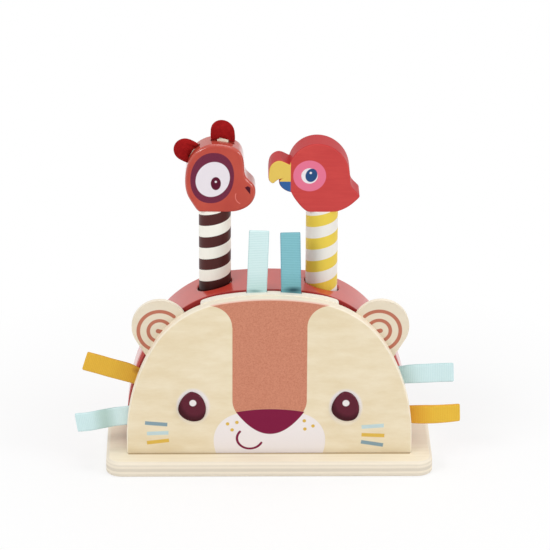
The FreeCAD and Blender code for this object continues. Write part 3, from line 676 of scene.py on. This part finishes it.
def stripedPeg(name, stripe):
    paint = Paint("striped" + joined(name))
    dx = paint.x - middle(name).x
    dy = paint.y - middle(name).y
    # turn is 0 on the left side, and a quarter at the front
    turn = paint.maths("ARCTAN2", dy, -dx) / -math.tau
    phase = paint.maths("FRACT", (paint.z - stripe["phase"]) / stripe["pitch"] - turn)
    halfShare = stripe["share"] / 2
    gap = (abs(phase - (1 - halfShare)) - halfShare) * stripe["pitch"]
    if "lowest" in stripe:
        gap = paint.most(gap, edge(name, 0, 2) + stripe["lowest"] - paint.z)
    fibres = paint.noise((0.9, 0.9, 0.05), 4, 0.6)
    speckle = paint.noise(2.5, 2, 0.6)
    ground = paint.mix(fibres * 0.12, stripe["ground"], pegWood["fibre"])
    band = paint.mix(speckle * 0.2, stripe["band"], stripe["bandSpeck"])
    # painted shade on the bands low down, where the peg stands in its well
    if "wellShade" in stripe:
        height, tint = stripe["wellShade"]
        wellShade = paint.inside(paint.z - deck - height, pegWood["wellShadeSoft"])
        band = paint.mix(wellShade * 0.9, band, tint)
    colour = paint.mix(paint.inside(gap, 0.12), ground, band)
    join = paint.inside(abs(dx - pegWood["joinX"]) - pegWood["joinHalf"], 0.08)
    join = join * paint.inside(-dy, 0.5)
    colour = paint.mix(join * 0.25, colour, pegWood["join"])
    height = paint.inside(gap, 0.3) * 0.4 + fibres * 0.4 - join * 0.6
    roughness = 0.36 + speckle * 0.1 + fibres * 0.06
    dress(paint.finish(colour, roughness, (height, 0.04), 0.12, (0.12, 0.25)), name)


# Lemur's head. x from the peg's axis and z above the neck, printed on both faces.

lemur = {
    "shift": 1.05,  # the print stands this far to the right of the peg's axis
    "lacquer": sRgb(197, 85, 69),
    "lacquerDeep": sRgb(183, 71, 60),
    "cloth": sRgb(124, 48, 70),
    "thread": sRgb(98, 30, 60),
    "patch": {"centre": (-3.0, 26.95), "semi": (16.1, 20.0), "shear": 0.06, "square": 2.15},
    # white of the eye, pupil, its spark and the smile
    "prints": (
        ("oval", {"centre": (-2.6, 25.9), "semi": (12.6, 13.9), "shear": 0.1}, sRgb(234, 227, 233)),
        ("oval", {"centre": (-0.3, 22.6), "semi": (3.75, 5.2)}, sRgb(88, 10, 42)),
        ("disc", {"centre": (-0.3, 24.0), "radius": 0.85}, sRgb(234, 227, 233)),
        (
            "arc",
            {"centre": (19.6, 12.2), "semi": (5.4, 5.9), "sweep": (157.0, 248.0), "halfWidth": 0.3},
            sRgb(222, 122, 112),
        ),
    ),
    "nose": sRgb(72, 4, 30),
    "noseCorners": ((21.9, 19.2), (23.4, 20.0), (24.9, 19.1), (24.8, 15.3)),
    "noseRound": 0.5,
    "noseDepth": 1.4,  # how far the nose reaches over the rim
    "patchSoft": 0.12,
    "rimCoat": 1.0,
    "faceCoat": 0.1,
}


def faceMask(paint, depth):
    # 1 on the two flat faces, and a little way over their rounded rims
    front = paint.inside(paint.y - (headFront + depth), 0.15)
    back = paint.inside(headBack - depth - paint.y, 0.15)
    return paint.most(front, back)


def polygonGap(paint, across, up, corners):
    # gap to a convex outline whose corners go clockwise
    gaps = []
    for start, end in zip(corners, corners[1:] + corners[:1]):
        reach = math.dist(start, end)
        outX = -(end[1] - start[1]) / reach
        outZ = (end[0] - start[0]) / reach
        gaps.append((across - start[0]) * outX + (up - start[1]) * outZ)
    return paint.most(*gaps)


def lemurHead():
    paint = Paint("lemurLacquer")
    x = paint.x - middle("lemur_peg").x - lemur["shift"]
    up = paint.z - headBottom
    clouds = paint.noise(0.05, 3)
    grain = paint.noise((0.05, 0.7, 0.7), 4, 0.55)
    threads = paint.noise(1.6, 3, 0.75)
    lacquer = paint.mix(paint.contrast(clouds, 1.8, -0.4), lemur["lacquerDeep"], lemur["lacquer"])
    cloth = paint.mix(paint.contrast(threads, 2.6, -0.8), lemur["cloth"], lemur["thread"])
    face = faceMask(paint, 0.25)
    onPatch = paint.inside(paint.ovalGap(x, up, **lemur["patch"]), lemur["patchSoft"]) * face
    nose = polygonGap(paint, x, up, lemur["noseCorners"]) - lemur["noseRound"]
    layers = paint.prints(x, up, lemur["prints"], face)
    layers.append((nose, lemur["nose"], faceMask(paint, lemur["noseDepth"])))
    colour = paint.layered(paint.mix(onPatch, lacquer, cloth), layers)
    roughness = 0.3 + clouds * 0.06 + onPatch * 0.25
    relief = (grain * 0.5 + threads * onPatch * 0.8, 0.04)
    # the flat faces are duller than the lacquered rim
    coat = lemur["rimCoat"] - faceMask(paint, 0.3) * (lemur["rimCoat"] - lemur["faceCoat"])
    dress(paint.finish(colour, roughness, relief, 0.1, (coat, 0.1)), "lemur_head")


# Parrot's head, in the same measures

parrot = {
    "red": sRgb(209, 74, 70),
    "redDeep": sRgb(194, 60, 60),
    "rim": sRgb(184, 44, 48),
    # ring round the eye, its white, the pupil and the spark
    "prints": (
        ("disc", {"centre": (-9.7, 28.6), "radius": 12.2}, sRgb(230, 117, 147)),
        ("disc", {"centre": (-9.8, 28.6), "radius": 6.1}, sRgb(236, 232, 234)),
        ("oval", {"centre": (-8.4, 29.1), "semi": (4.3, 5.4), "lean": 18.0}, sRgb(35, 75, 125)),
        ("disc", {"centre": (-8.9, 31.0), "radius": 0.9}, sRgb(236, 232, 234)),
    ),
    "beakX": -23.7,
    "beakSplit": 24.1,
    "beakNotch": -32.4,
    "beakUpper": sRgb(229, 196, 92),
    "beakLower": sRgb(46, 96, 156),
    # painted shade on the red underside of the upper beak
    "beakUnderShade": sRgb(120, 22, 32),
}


def parrotHead():
    paint = Paint("parrotPaint")
    x = paint.x - middle("parrot_peg").x
    up = paint.z - headBottom
    grain = paint.noise((0.06, 0.9, 0.9), 4, 0.6)
    clouds = paint.noise(0.05, 3)
    tone = paint.contrast(grain * 0.5 + clouds * 0.5, 2.0, -0.5)
    upper = paint.inside(paint.least(parrot["beakSplit"] - up, x - parrot["beakNotch"]), 0.12)
    beak = paint.mix(upper, parrot["beakLower"], parrot["beakUpper"])
    onBeak = paint.inside(x - parrot["beakX"], 0.12)
    face = paint.mix(onBeak, paint.mix(tone, parrot["redDeep"], parrot["red"]), beak)
    face = paint.layered(face, paint.prints(x, up, parrot["prints"]))
    # painted shade on the rim under the upper beak
    underShade = onBeak * paint.inside(up - parrot["beakSplit"], 0.3)
    rim = paint.mix(tone * 0.6, parrot["rim"], parrot["redDeep"])
    rim = paint.mix(underShade * 0.8, rim, parrot["beakUnderShade"])
    colour = paint.mix(faceMask(paint, 0.3), rim, face)
    roughness = 0.42 + grain * 0.12
    dress(paint.finish(colour, roughness, (grain, 0.05), 0.15, (0.1, 0.3)), "parrot_head")


plyBase()
lionPanel()
for side, name in ((-1, "left"), (1, "right")):
    spiralEar(name + "_ear", side)
    lionEye(name + "_eye")
redHousing()
plainFinishes = {name: plainFinish(name, spec) for name, spec in plain.items()}
for name, stripe in pegs.items():
    stripedPeg(name, stripe)
lemurHead()
parrotHead()
print("boards, housing, pegs and heads painted")


def placed(name, data):
    thing = bpy.data.objects.new(name, data)
    bpy.context.scene.collection.objects.link(thing)
    return thing


def meshFrom(form, name):
    bmesh.ops.recalc_face_normals(form, faces=form.faces)
    mesh = bpy.data.meshes.new(name)
    form.to_mesh(mesh)
    form.free()
    return mesh


def newPiece(name, form, material, body):
    mesh = meshFrom(form, name)
    for polygon in mesh.polygons:
        polygon.use_smooth = True
    mesh.materials.append(material)
    piece = placed(name, mesh)
    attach(piece, body)
    return piece


def skinned(form, rings):
    # quads between each closed ring of corners and the next
    for start, end in zip(rings, rings[1:]):
        for spot in range(len(start)):
            onward = (spot + 1) % len(start)
            form.faces.new((start[spot], start[onward], end[onward], end[spot]))


# Ribbon loops. Each is one strip, folded back at its tip, with both ends stapled behind the panel.

ribbon = {
    "width": 15.0,
    "cloth": 0.46,
    "halfGap": 0.6,  # from the loop's middle plane to the middle of one layer
    "rib": 1.36,  # pitch of the grosgrain ribs
    "ribHeight": 0.05,
    "stepsPerRib": 6,
    "stepsAcross": 14,
    "pinchReach": 11.0,
    "tipRound": 1.6,  # the tip's two corners are rounded over this length
    "tipDraw": 0.6,
    "bendSteps": 12,
    "edgeBand": 0.7,
    "edgeThin": (0.45, 12),  # how much thinner the selvedge is, and how close to the edge
    "threadTurn": 14.0,
    "rootFade": 9.0,
}
ribbons = {
    # bearing is the way it points, degrees from +X towards +Z
    # wave lists how far it stands forward at a quarter, half, three quarters and the tip
    # tail is its length behind the panel, and longer is what it stands out past its solid
    # pinch is how far each edge draws in at the root
    # lean tips the far end's upper edge forward, in degrees
    # shade is an oval of painted shade: where it lies along and across, its semis and its colour
    # root is the colour near the root: painted shade, and painted light on the lower left loop
    "ribbon_top_left": {
        "bearing": 88.0,
        "tail": 14.0,
        "wave": (0.5, 0.9, 0.5, -0.6),
        "slot": "ribbon_pale_blue",
        "colour": sRgb(209, 236, 236),
        "root": sRgb(178, 216, 216),
        "thread": sRgb(226, 244, 244),
        "longer": 1.1,
        "shade": ((1.9, 1.6), (1.0, 4.4), sRgb(140, 176, 176)),
    },
    "ribbon_top_right": {
        "bearing": 91.2,
        "tail": 14.0,
        "wave": (0.6, 0.7, 0.2, -0.5),
        "slot": "ribbon_teal",
        "colour": sRgb(122, 186, 197),
        "root": sRgb(96, 160, 168),
        "thread": sRgb(148, 205, 214),
        "selvedge": sRgb(84, 142, 172),
        "shade": ((3.0, -1.7), (2.1, 5.4), sRgb(26, 78, 90)),
    },
    "ribbon_upper_left": {
        "bearing": 163.0,
        "tail": 13.0,
        "wave": (0.2, 0.5, 0.2, 0.4),
        "pinch": (1.6, 0.0),
        "slot": "ribbon_yellow",
        "colour": sRgb(224, 174, 42),
        "root": sRgb(220, 163, 38),
        "thread": sRgb(234, 188, 62),
        "shade": ((0.5, -4.4), (2.8, 2.4), sRgb(186, 128, 30)),
    },
    "ribbon_lower_left": {
        "bearing": 188.8,
        "tail": 13.0,
        "wave": (-0.7, 0.1, 1.3, 0.1),
        "slot": "ribbon_mint",
        "colour": sRgb(206, 235, 236),
        "root": sRgb(218, 241, 242),
        "thread": sRgb(222, 244, 245),
        "shade": ((17.6, 0.0), (5.4, 60.0), sRgb(189, 218, 212)),
    },
    "ribbon_upper_right": {
        "bearing": 2.3,
        "tail": 13.0,
        "wave": (0.2, 0.1, -0.2, 0.2),
        "longer": 1.0,
        "pinch": (0.0, 1.0),
        "slot": "ribbon_mint",
        "colour": sRgb(206, 233, 235),
        "root": sRgb(192, 222, 221),
        "thread": sRgb(224, 244, 246),
    },
    "ribbon_lower_right": {
        "bearing": 2.4,
        "tail": 13.0,
        "wave": (0.3, 0.8, 0.4, -0.6),
        "pinch": (0.8, 0.0),
        "lean": 8.0,
        "slot": "ribbon_yellow",
        "colour": sRgb(230, 184, 44),
        "root": sRgb(236, 163, 34),
        "thread": sRgb(240, 200, 68),
    },
}


def grosgrain(name, spec):
    paint = Paint(joined(name.replace("ribbon", "grosgrain")))
    run = paint.node("ShaderNodeUVMap", {"uv_map": "weave"})
    along = paint.split(run, 0)  # millimetres from the root to the tip
    across = paint.split(run, 1)  # millimetres from the middle line
    wave = paint.maths("SINE", along * (math.tau / ribbon["rib"]))
    threads = paint.maths("SINE", across * ribbon["threadTurn"])
    fuzz = paint.noise(2.0, 3, 0.7)
    # painted shade towards the root, and painted light there on the lower left loop
    root = paint.inside(along - ribbon["rootFade"], ribbon["rootFade"])
    colour = paint.mix(root, spec["colour"], spec["root"])
    colour = paint.mix(paint.contrast(wave * 0.5 + fuzz, 0.5, -0.1), colour, spec["thread"])
    # painted shade in the valleys between the ribs, which also deepens the selvedge
    valley = paint.contrast(wave, -0.5, 0.0)
    colour = paint.mix(valley * 0.35, colour, spec["root"])
    selvedge = paint.inside(ribbon["width"] / 2 - ribbon["edgeBand"] - abs(across), 0.15)
    bound = spec.get("selvedge", spec["root"])
    colour = paint.mix(selvedge * (0.3 + valley * 0.7), colour, bound)
    # an oval of painted shade
    if "shade" in spec:
        spot, semi, tint = spec["shade"]
        shadeGap = paint.reach((along - spot[0]) / semi[0], (across - spot[1]) / semi[1]) - 1
        colour = paint.mix(paint.inside(shadeGap, 0.7), colour, tint)
    relief = (threads * 0.12 + fuzz * 0.5 + wave * 0.2, 0.05)
    extras = {"Sheen Weight": 0.25, "Sheen Roughness": 0.4}
    return paint.finish(colour, 0.62 + fuzz * 0.15, relief, extras=extras)


def waveAt(wave, share):
    # smooth offset through five even stations, level at the root
    stations = (0.0, *wave)
    spot = clamped(share) * 4
    first = min(int(spot), 3)
    start, end = stations[first], stations[first + 1]
    before, after = stations[max(first - 1, 0)], stations[min(first + 2, 4)]
    slopeIn = 0.0 if first == 0 else (end - before) / 2
    slopeOut = (after - start) / 2
    points = [start, start + slopeIn / 3, end - slopeOut / 3, end]
    # neighbouring points of the curve are blended until one is left
    while len(points) > 1:
        pairs = zip(points, points[1:])
        points = [near + (far - near) * (spot - first) for near, far in pairs]
    return points[0]


def loopPath(tail, free):
    # places along the folded strip as (way out, offset from the middle plane, outward angle)
    bend = ribbon["halfGap"]
    straight = free - bend - ribbon["cloth"] / 2
    count = round((straight + tail) / ribbon["rib"] * ribbon["stepsPerRib"])
    ways = [-tail + (straight + tail) * number / count for number in range(count + 1)]
    path = [(way, -bend, -90.0) for way in ways]
    for number in range(1, ribbon["bendSteps"]):
        angle = -90 + 180 * number / ribbon["bendSteps"]
        turn = math.radians(angle)
        path.append((straight + bend * math.cos(turn), bend * math.sin(turn), angle))
    return path + [(way, bend, 90.0) for way in reversed(ways)]


def ribbonLoop(name, spec):
    outward, sideways = directions(spec["bearing"])
    # the length follows from the solid's box along the axis that the loop points along most
    main = 0 if abs(outward.x) > abs(outward.z) else 2
    span = edge(name, 1, main) - edge(name, 0, main)
    tail = spec["tail"]
    free = (span - ribbon["width"] * abs(sideways[main])) / abs(outward[main]) - tail
    root = middle(name) - outward * (free - tail) / 2
    free += spec.get("longer", 0.0)
    across = ribbon["stepsAcross"]
    form = bmesh.new()
    weave = form.loops.layers.uv.new("weave")
    path = loopPath(tail, free)
    rows = []
    run = 0.0
    for number, (way, offset, angle) in enumerate(path):
        if number:
            run += math.dist(path[number - 1][:2], (way, offset))
        lift = math.sin(math.tau * run / ribbon["rib"]) * ribbon["ribHeight"]
        forward = waveAt(spec["wave"], way / free)
        drawIn = clamped(1 - way / ribbon["pinchReach"]) ** 2
        pastRound = clamped((way - free) / ribbon["tipRound"] + 1)
        rounded = ribbon["tipRound"] * ribbon["tipDraw"] * (1 - math.sqrt(1 - pastRound**2))
        half = ribbon["width"] / 2 - rounded
        halves = [half - amount * drawIn for amount in spec.get("pinch", (0, 0))]
        lean = math.radians(spec.get("lean", 0.0)) * clamped(way / free) ** 2
        turn = math.radians(angle)
        layers = []
        for face in (1, -1):
            line = []
            for column in range(across + 1):
                share = column / across * 2 - 1
                thin, power = ribbon["edgeThin"]
                level = face * (ribbon["cloth"] / 2 + lift) * (1 - thin * abs(share) ** power)
                aside = share * halves[1 if share > 0 else 0]
                depth = offset + math.sin(turn) * level - forward - aside * math.sin(lean)
                place = root + outward * (way + math.cos(turn) * level) + Vector((0, depth, 0))
                line.append(form.verts.new((place + sideways * aside * math.cos(lean)) * mm))
            layers.append(line)
        rows.append((way, layers))

    def patch(*corners):
        # each corner is a row, a layer and a column
        made = form.faces.new([rows[row][1][layer][column] for row, layer, column in corners])
        for loop, (row, _, column) in zip(made.loops, corners):
            loop[weave].uv = (rows[row][0], (column / across - 0.5) * ribbon["width"])

    last = len(rows) - 1
    for row in range(last):
        for column in range(across):
            for layer in (0, 1):
                near, far = (row, layer), (row + 1, layer)
                patch((*near, column), (*far, column), (*far, column + 1), (*near, column + 1))
        for column in (0, across):
            patch((row, 0, column), (row + 1, 0, column), (row + 1, 1, column), (row, 1, column))
    for row in (0, last):
        for column in range(across):
            patch((row, 0, column), (row, 0, column + 1), (row, 1, column + 1), (row, 1, column))
    piece = newPiece(name + "_loop", form, grosgrain(name, spec), "root")
    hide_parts(name)


for name, spec in ribbons.items():
    ribbonLoop(name, spec)
print("ribbons folded")


# Coil springs under the plungers. Each is pressed flatter as its plunger goes down.

coil = {
    "turns": 13,
    "wire": 1.5,
    "stepsPerTurn": 30,
    "stepsRound": 10,
    "travel": 40.0,
}


def coilSpring(side, toy):
    low, high = (Vector(corner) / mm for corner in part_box(side + "_spring"))
    centre = (low + high) / 2
    half = coil["wire"] / 2
    radius = (high.x - low.x) / 2 - half
    length = high.z - low.z - coil["wire"]
    steps = coil["turns"] * coil["stepsPerTurn"]
    form = bmesh.new()
    rings = []
    for number in range(steps + 1):
        turn = number / coil["stepsPerTurn"] * math.tau
        outward = Vector((math.cos(turn), math.sin(turn), 0))
        core = Vector((centre.x, centre.y, low.z + half + length * number / steps))
        core += outward * radius
        ring = []
        for spoke in range(coil["stepsRound"]):
            angle = spoke / coil["stepsRound"] * math.tau
            reach = outward * math.cos(angle) + Vector((0, 0, math.sin(angle)))
            ring.append(form.verts.new((core + reach * half) * mm))
        rings.append(ring)
    skinned(form, rings)
    form.faces.new(rings[0])
    form.faces.new(rings[-1])
    piece = newPiece(side + "_coil", form, plainFinishes["drawnSteelWire"], toy + "_spring")
    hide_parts(side + "_spring")
    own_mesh(piece)


coilSpring("left", "lemur")
coilSpring("right", "parrot")
print("springs coiled")


# Lemur's cloth ears, two felt layers sewn round the edge, lightly stuffed and tucked in a slot

felt = {
    "red": sRgb(172, 32, 32),
    "deep": sRgb(128, 14, 18),
    "fluff": sRgb(192, 52, 50),
    "lining": sRgb(252, 242, 224),
    "liningShade": sRgb(240, 224, 196),
    "halfWidth": 8.75,
    "height": 16.0,
    "cornerShare": 0.86,
    "tuck": 4.0,  # how far the solid that gives the place goes down into the head
    "coreShare": 0.42,
    "flareReach": 5.0,
    "creaseReach": 4.5,
    "creaseDepth": 0.45,
    "creaseWave": (1.15, 0.6),
    "footSlim": 0.35,
    # the lining is a wedge that fills the slot and thins out upwards
    "liningFoot": -1.0,
    "liningTop": 2.4,
    "liningThick": 3.0,
    "liningTaper": 0.08,
    "liningRound": 0.2,
    "puff": 2.5,
    "puffRound": (2.4, 0.62),
    "hemThick": 0.12,
    "rings": 22,
    "spokes": 160,
}
feltEars = {
    # direction is the way the tip points, degrees from +X towards +Z
    # lining is where the cream felt starts and ends across the ear
    # hem is the lower edge: shares of the width and the height above the wood at each
    # folds are valleys at the foot: place across, depth, half width and reach upwards
    "lemur_front_ear": {
        "direction": 88.0,
        "creases": 0.5,
        "lining": (-4.5, 3.9),
        "hem": ((-1.0, -1.0), (-0.7, -0.7), (-0.55, 0.0), (0.36, 2.0), (0.5, -0.1), (1.0, -0.6)),
        "aside": -0.75,
        "lean": 1.7,
        "flare": (0.8, 1.5),
        "slope": 0.4,
        "folds": ((5.2, 0.9, 1.0, 4.0), (-5.6, 0.9, 0.9, 5.0)),
    },
    "lemur_rear_ear": {
        "direction": 152.0,
        "creases": 0.4,
        "lining": (-4.7, 5.6),
        "hem": ((-1.0, 0.2), (-0.55, 0.6), (-0.42, 2.0), (0.56, 2.0), (0.72, 0.0), (1.0, -1.0)),
        "aside": -0.5,
        "lean": -0.4,
        "flare": (1.2, 0.5),
        "slope": -0.3,
        "folds": ((-4.8, 1.7, 0.8, 6.5), (5.6, 0.5, 1.0, 3.5)),
    },
}


def feltFinish():
    paint = Paint("darkRedFelt")
    fibres = paint.noise(1.8, 5, 0.75)
    pile = paint.noise(0.25, 3, 0.6)
    amount = paint.contrast(fibres * 0.5 + pile * 0.5, 2.6, -0.8)
    colour = paint.mix(amount, felt["deep"], felt["red"])
    tips = paint.contrast(fibres, 4.0, -2.3)
    colour = paint.mix(tips * 0.4, colour, felt["fluff"])
    return paint.finish(colour, 0.9, (fibres, 0.12), 0.06)


def liningFinish():
    paint = Paint("creamFeltLining")
    fibres = paint.noise(2.0, 4, 0.7)
    colour = paint.mix(fibres, felt["lining"], felt["liningShade"])
    return paint.finish(colour, 0.85, (fibres, 0.1))


def hemAt(hem, share):
    for (first, low), (last, high) in zip(hem, hem[1:]):
        if share <= last:
            return low + (high - low) * (share - first) / (last - first)
    return hem[-1][1]


def earOutline(spec):
    # tombstone outline as (up, across), which starts along the hem
    half = felt["halfWidth"]
    corner = half * felt["cornerShare"]
    shoulderUp = felt["height"] - half
    shares = [number / 30 - 1 for number in range(61)]
    hem = [(hemAt(spec["hem"], share), share * corner) for share in shares]

    def flank(contactShadow, side):
        line = []
        for number in range(1, 9):
            bulge = corner + (half - corner) * math.sin(number / 8 * math.pi / 2)
            line.append((contactShadow + (shoulderUp - contactShadow) * number / 8, side * bulge))
        return line

    dome = []
    for number in range(1, 32):
        turn = math.pi * number / 32
        dome.append((shoulderUp + half * math.sin(turn), half * math.cos(turn)))
    return hem + flank(hem[-1][0], 1) + dome + flank(hem[0][0], -1)[::-1]


def resampled(points, count):
    # the same closed outline with evenly spaced points
    closed = [Vector(point) for point in points + points[:1]]
    lengths = [0.0]
    for start, end in zip(closed, closed[1:]):
        lengths.append(lengths[-1] + (end - start).length)
    spaced = []
    spot = 0
    for number in range(count):
        target = lengths[-1] * number / count
        while lengths[spot + 1] < target:
            spot += 1
        share = (target - lengths[spot]) / (lengths[spot + 1] - lengths[spot])
        spaced.append(closed[spot].lerp(closed[spot + 1], share))
    return spaced


def fadeUp(up, reach):
    return math.exp(-((max(up, 0) / reach) ** 2))


def feltEar(name, spec):
    upward, sideways = directions(spec["direction"])
    # the solid's middle lies halfway from its tuck to its tip, and the base on the wood
    base = middle(name) - upward * (felt["height"] - felt["tuck"]) / 2
    outline = resampled(earOutline(spec), felt["spokes"])
    coreUp = felt["height"] * felt["coreShare"]
    form = bmesh.new()

    def spotAt(up, across, depth):
        near = fadeUp(up, felt["flareReach"])
        share = across / felt["halfWidth"]
        across += spec["aside"] + spec["lean"] * up / felt["height"]
        across += share * spec["flare"][1 if share > 0 else 0] * near
        up += share * spec["slope"] * near
        place = base + upward * up + sideways * across + Vector((0, depth, 0))
        return form.verts.new(place * mm)

    def depthAt(up, across, ring):
        inner, outer = felt["puffRound"]
        bulge = felt["puff"] * (1 - ring**inner) ** outer
        near = fadeUp(up, felt["creaseReach"])
        turns, start = felt["creaseWave"]
        crease = near * felt["creaseDepth"] * spec["creases"] * math.cos(across * turns + start)
        for place, deep, halfWidth, far in spec["folds"]:
            crease += deep * math.exp(-(((across - place) / halfWidth) ** 2)) * fadeUp(up, far)
        bulge *= 1 - felt["footSlim"] * near
        return max(bulge - crease * (1 - ring**4), felt["hemThick"] * (1 - ring))

    rim = [spotAt(up, across, 0) for up, across in outline]
    for side in (-1, 1):
        rings = []
        for number in range(1, felt["rings"]):
            share = math.sin(number / felt["rings"] * math.pi / 2)
            ring = []
            for up, across in outline:
                spot = (coreUp + (up - coreUp) * share, across * share)
                ring.append(spotAt(*spot, side * depthAt(*spot, share)))
            rings.append(ring)
        hub = spotAt(coreUp, 0, side * depthAt(coreUp, 0, 0))
        for start, end in zip(rings[0], rings[0][1:] + rings[0][:1]):
            form.faces.new((hub, start, end))
        skinned(form, [*rings, rim])
    piece = newPiece(name + "_felt", form, feltCloth, "lemur")
    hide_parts(name)

    # cream lining that shows under the arched edge
    form = bmesh.new()
    wedge = bmesh.ops.create_cube(form, size=1)["verts"]
    for corner in wedge:
        if corner.co.x > 0:
            corner.co.y *= felt["liningTaper"]
    low, high = felt["liningFoot"], felt["liningTop"]
    first, last = spec["lining"]
    size = Matrix.Diagonal((high - low, felt["liningThick"], last - first, 1))
    turn = Matrix((upward, Vector((0, 1, 0)), sideways)).transposed().to_4x4()
    shift = Matrix.Translation(base + upward * (high + low) / 2 + sideways * (first + last) / 2)
    bmesh.ops.transform(form, matrix=Matrix.Scale(mm, 4) @ shift @ turn @ size, verts=wedge)
    rounding = felt["liningRound"] * mm
    bmesh.ops.bevel(form, geom=form.edges, offset=rounding, segments=3, affect="EDGES", profile=0.5)
    piece = newPiece(name + "_lining", form, liningCloth, "lemur")


feltCloth = feltFinish()
liningCloth = liningFinish()
for name, spec in feltEars.items():
    feltEar(name, spec)
print("felt ears stuffed")


# Stage, lamps and camera

stage = {
    "floorSize": 8.0,
    "floor": sRgb(246, 246, 246),
    "whiteNear": 0.64,  # share of plain white on the floor beside the toy
    "fadeFrom": 0.16,
    "fadeTo": 0.34,
    "worldLight": 0.6,
}


def seesBackdrop(tree):
    # 1 for rays that show the backdrop, straight or in a reflection, 0 for those that only light
    kinds = ("Is Camera Ray", "Is Glossy Ray", "Is Transmission Ray")
    return tree.most(*(tree.node("ShaderNodeLightPath", out=kind) for kind in kinds))


def paleFloor():
    form = bmesh.new()
    bmesh.ops.create_grid(form, x_segments=4, y_segments=4, size=stage["floorSize"] / 2)
    floor = placed("floor", meshFrom(form, "floor"))
    paint = Paint("paleFloor")
    away = paint.reach(paint.x, paint.y) * mm
    near, far = stage["fadeFrom"], stage["fadeTo"]
    fade = paint.contrast(away, 1 / (far - near), -near / (far - near))
    share = stage["whiteNear"] + fade * (1 - stage["whiteNear"])
    both = {
        0: share * seesBackdrop(paint),
        1: paint.node("ShaderNodeBsdfDiffuse", None, {"Color": stage["floor"]}),
        2: paint.node("ShaderNodeEmission", None, {"Color": (1, 1, 1, 1), "Strength": 1.0}),
    }
    surface = paint.node("ShaderNodeMixShader", None, both)
    paint.node("ShaderNodeOutputMaterial", None, {"Surface": surface})
    floor.data.materials.append(paint.material)


def whiteRoom():
    world = bpy.data.worlds.new("whiteRoom")
    bpy.context.scene.world = world
    world.use_nodes = True
    room = NodeTree(world.node_tree)
    strength = seesBackdrop(room) * (1 - stage["worldLight"]) + stage["worldLight"]
    light = room.node("ShaderNodeBackground", None, {"Strength": strength})
    room.node("ShaderNodeOutputWorld", None, {"Surface": light})


lamps = {
    "leftSoftbox": {"at": (-1.4, -1.2, 1.45), "size": (1.2, 0.5), "watts": 16.5},
    "overheadSoftbox": {"at": (0.25, 0.15, 1.9), "size": (1.3, 1.3), "watts": 11.5},
    "rightSoftbox": {"at": (1.75, -0.75, 0.9), "size": (0.8, 0.6), "watts": 11.5},
}
lampTarget = Vector((0.0, 0.0, 0.12))


def softbox(name, spec):
    lamp = bpy.data.lights.new(name, "AREA")
    lamp.shape = "RECTANGLE"
    lamp.size, lamp.size_y = spec["size"]
    lamp.energy = spec["watts"]
    holder = placed(name, lamp)
    holder.location = spec["at"]
    holder.rotation_euler = (lampTarget - Vector(spec["at"])).to_track_quat("-Z", "Y").to_euler()


view = {
    "azimuth": -0.9737,
    "elevation": 23.0,
    "roll": 0.2891,
    "distance": 2.75,
    "target": (0.004184, 0.0, 0.145814),
    "lens": 240.1,
    "sensor": 36,
}


def longLens():
    lens = bpy.data.cameras.new("longLens")
    lens.lens = view["lens"]
    lens.sensor_width = view["sensor"]
    camera = placed("longLens", lens)
    camera.matrix_world = (
        Matrix.Translation(view["target"])
        @ Matrix.Rotation(math.radians(view["azimuth"]), 4, "Z")
        @ Matrix.Rotation(math.radians(90 - view["elevation"]), 4, "X")
        @ Matrix.Rotation(math.radians(view["roll"]), 4, "Z")
        @ Matrix.Translation((0, 0, view["distance"]))
    )
    bpy.context.scene.camera = camera


paleFloor()
whiteRoom()
for name, spec in lamps.items():
    softbox(name, spec)
longLens()
bpy.context.scene.view_settings.view_transform = "Standard"
print("stage lit")
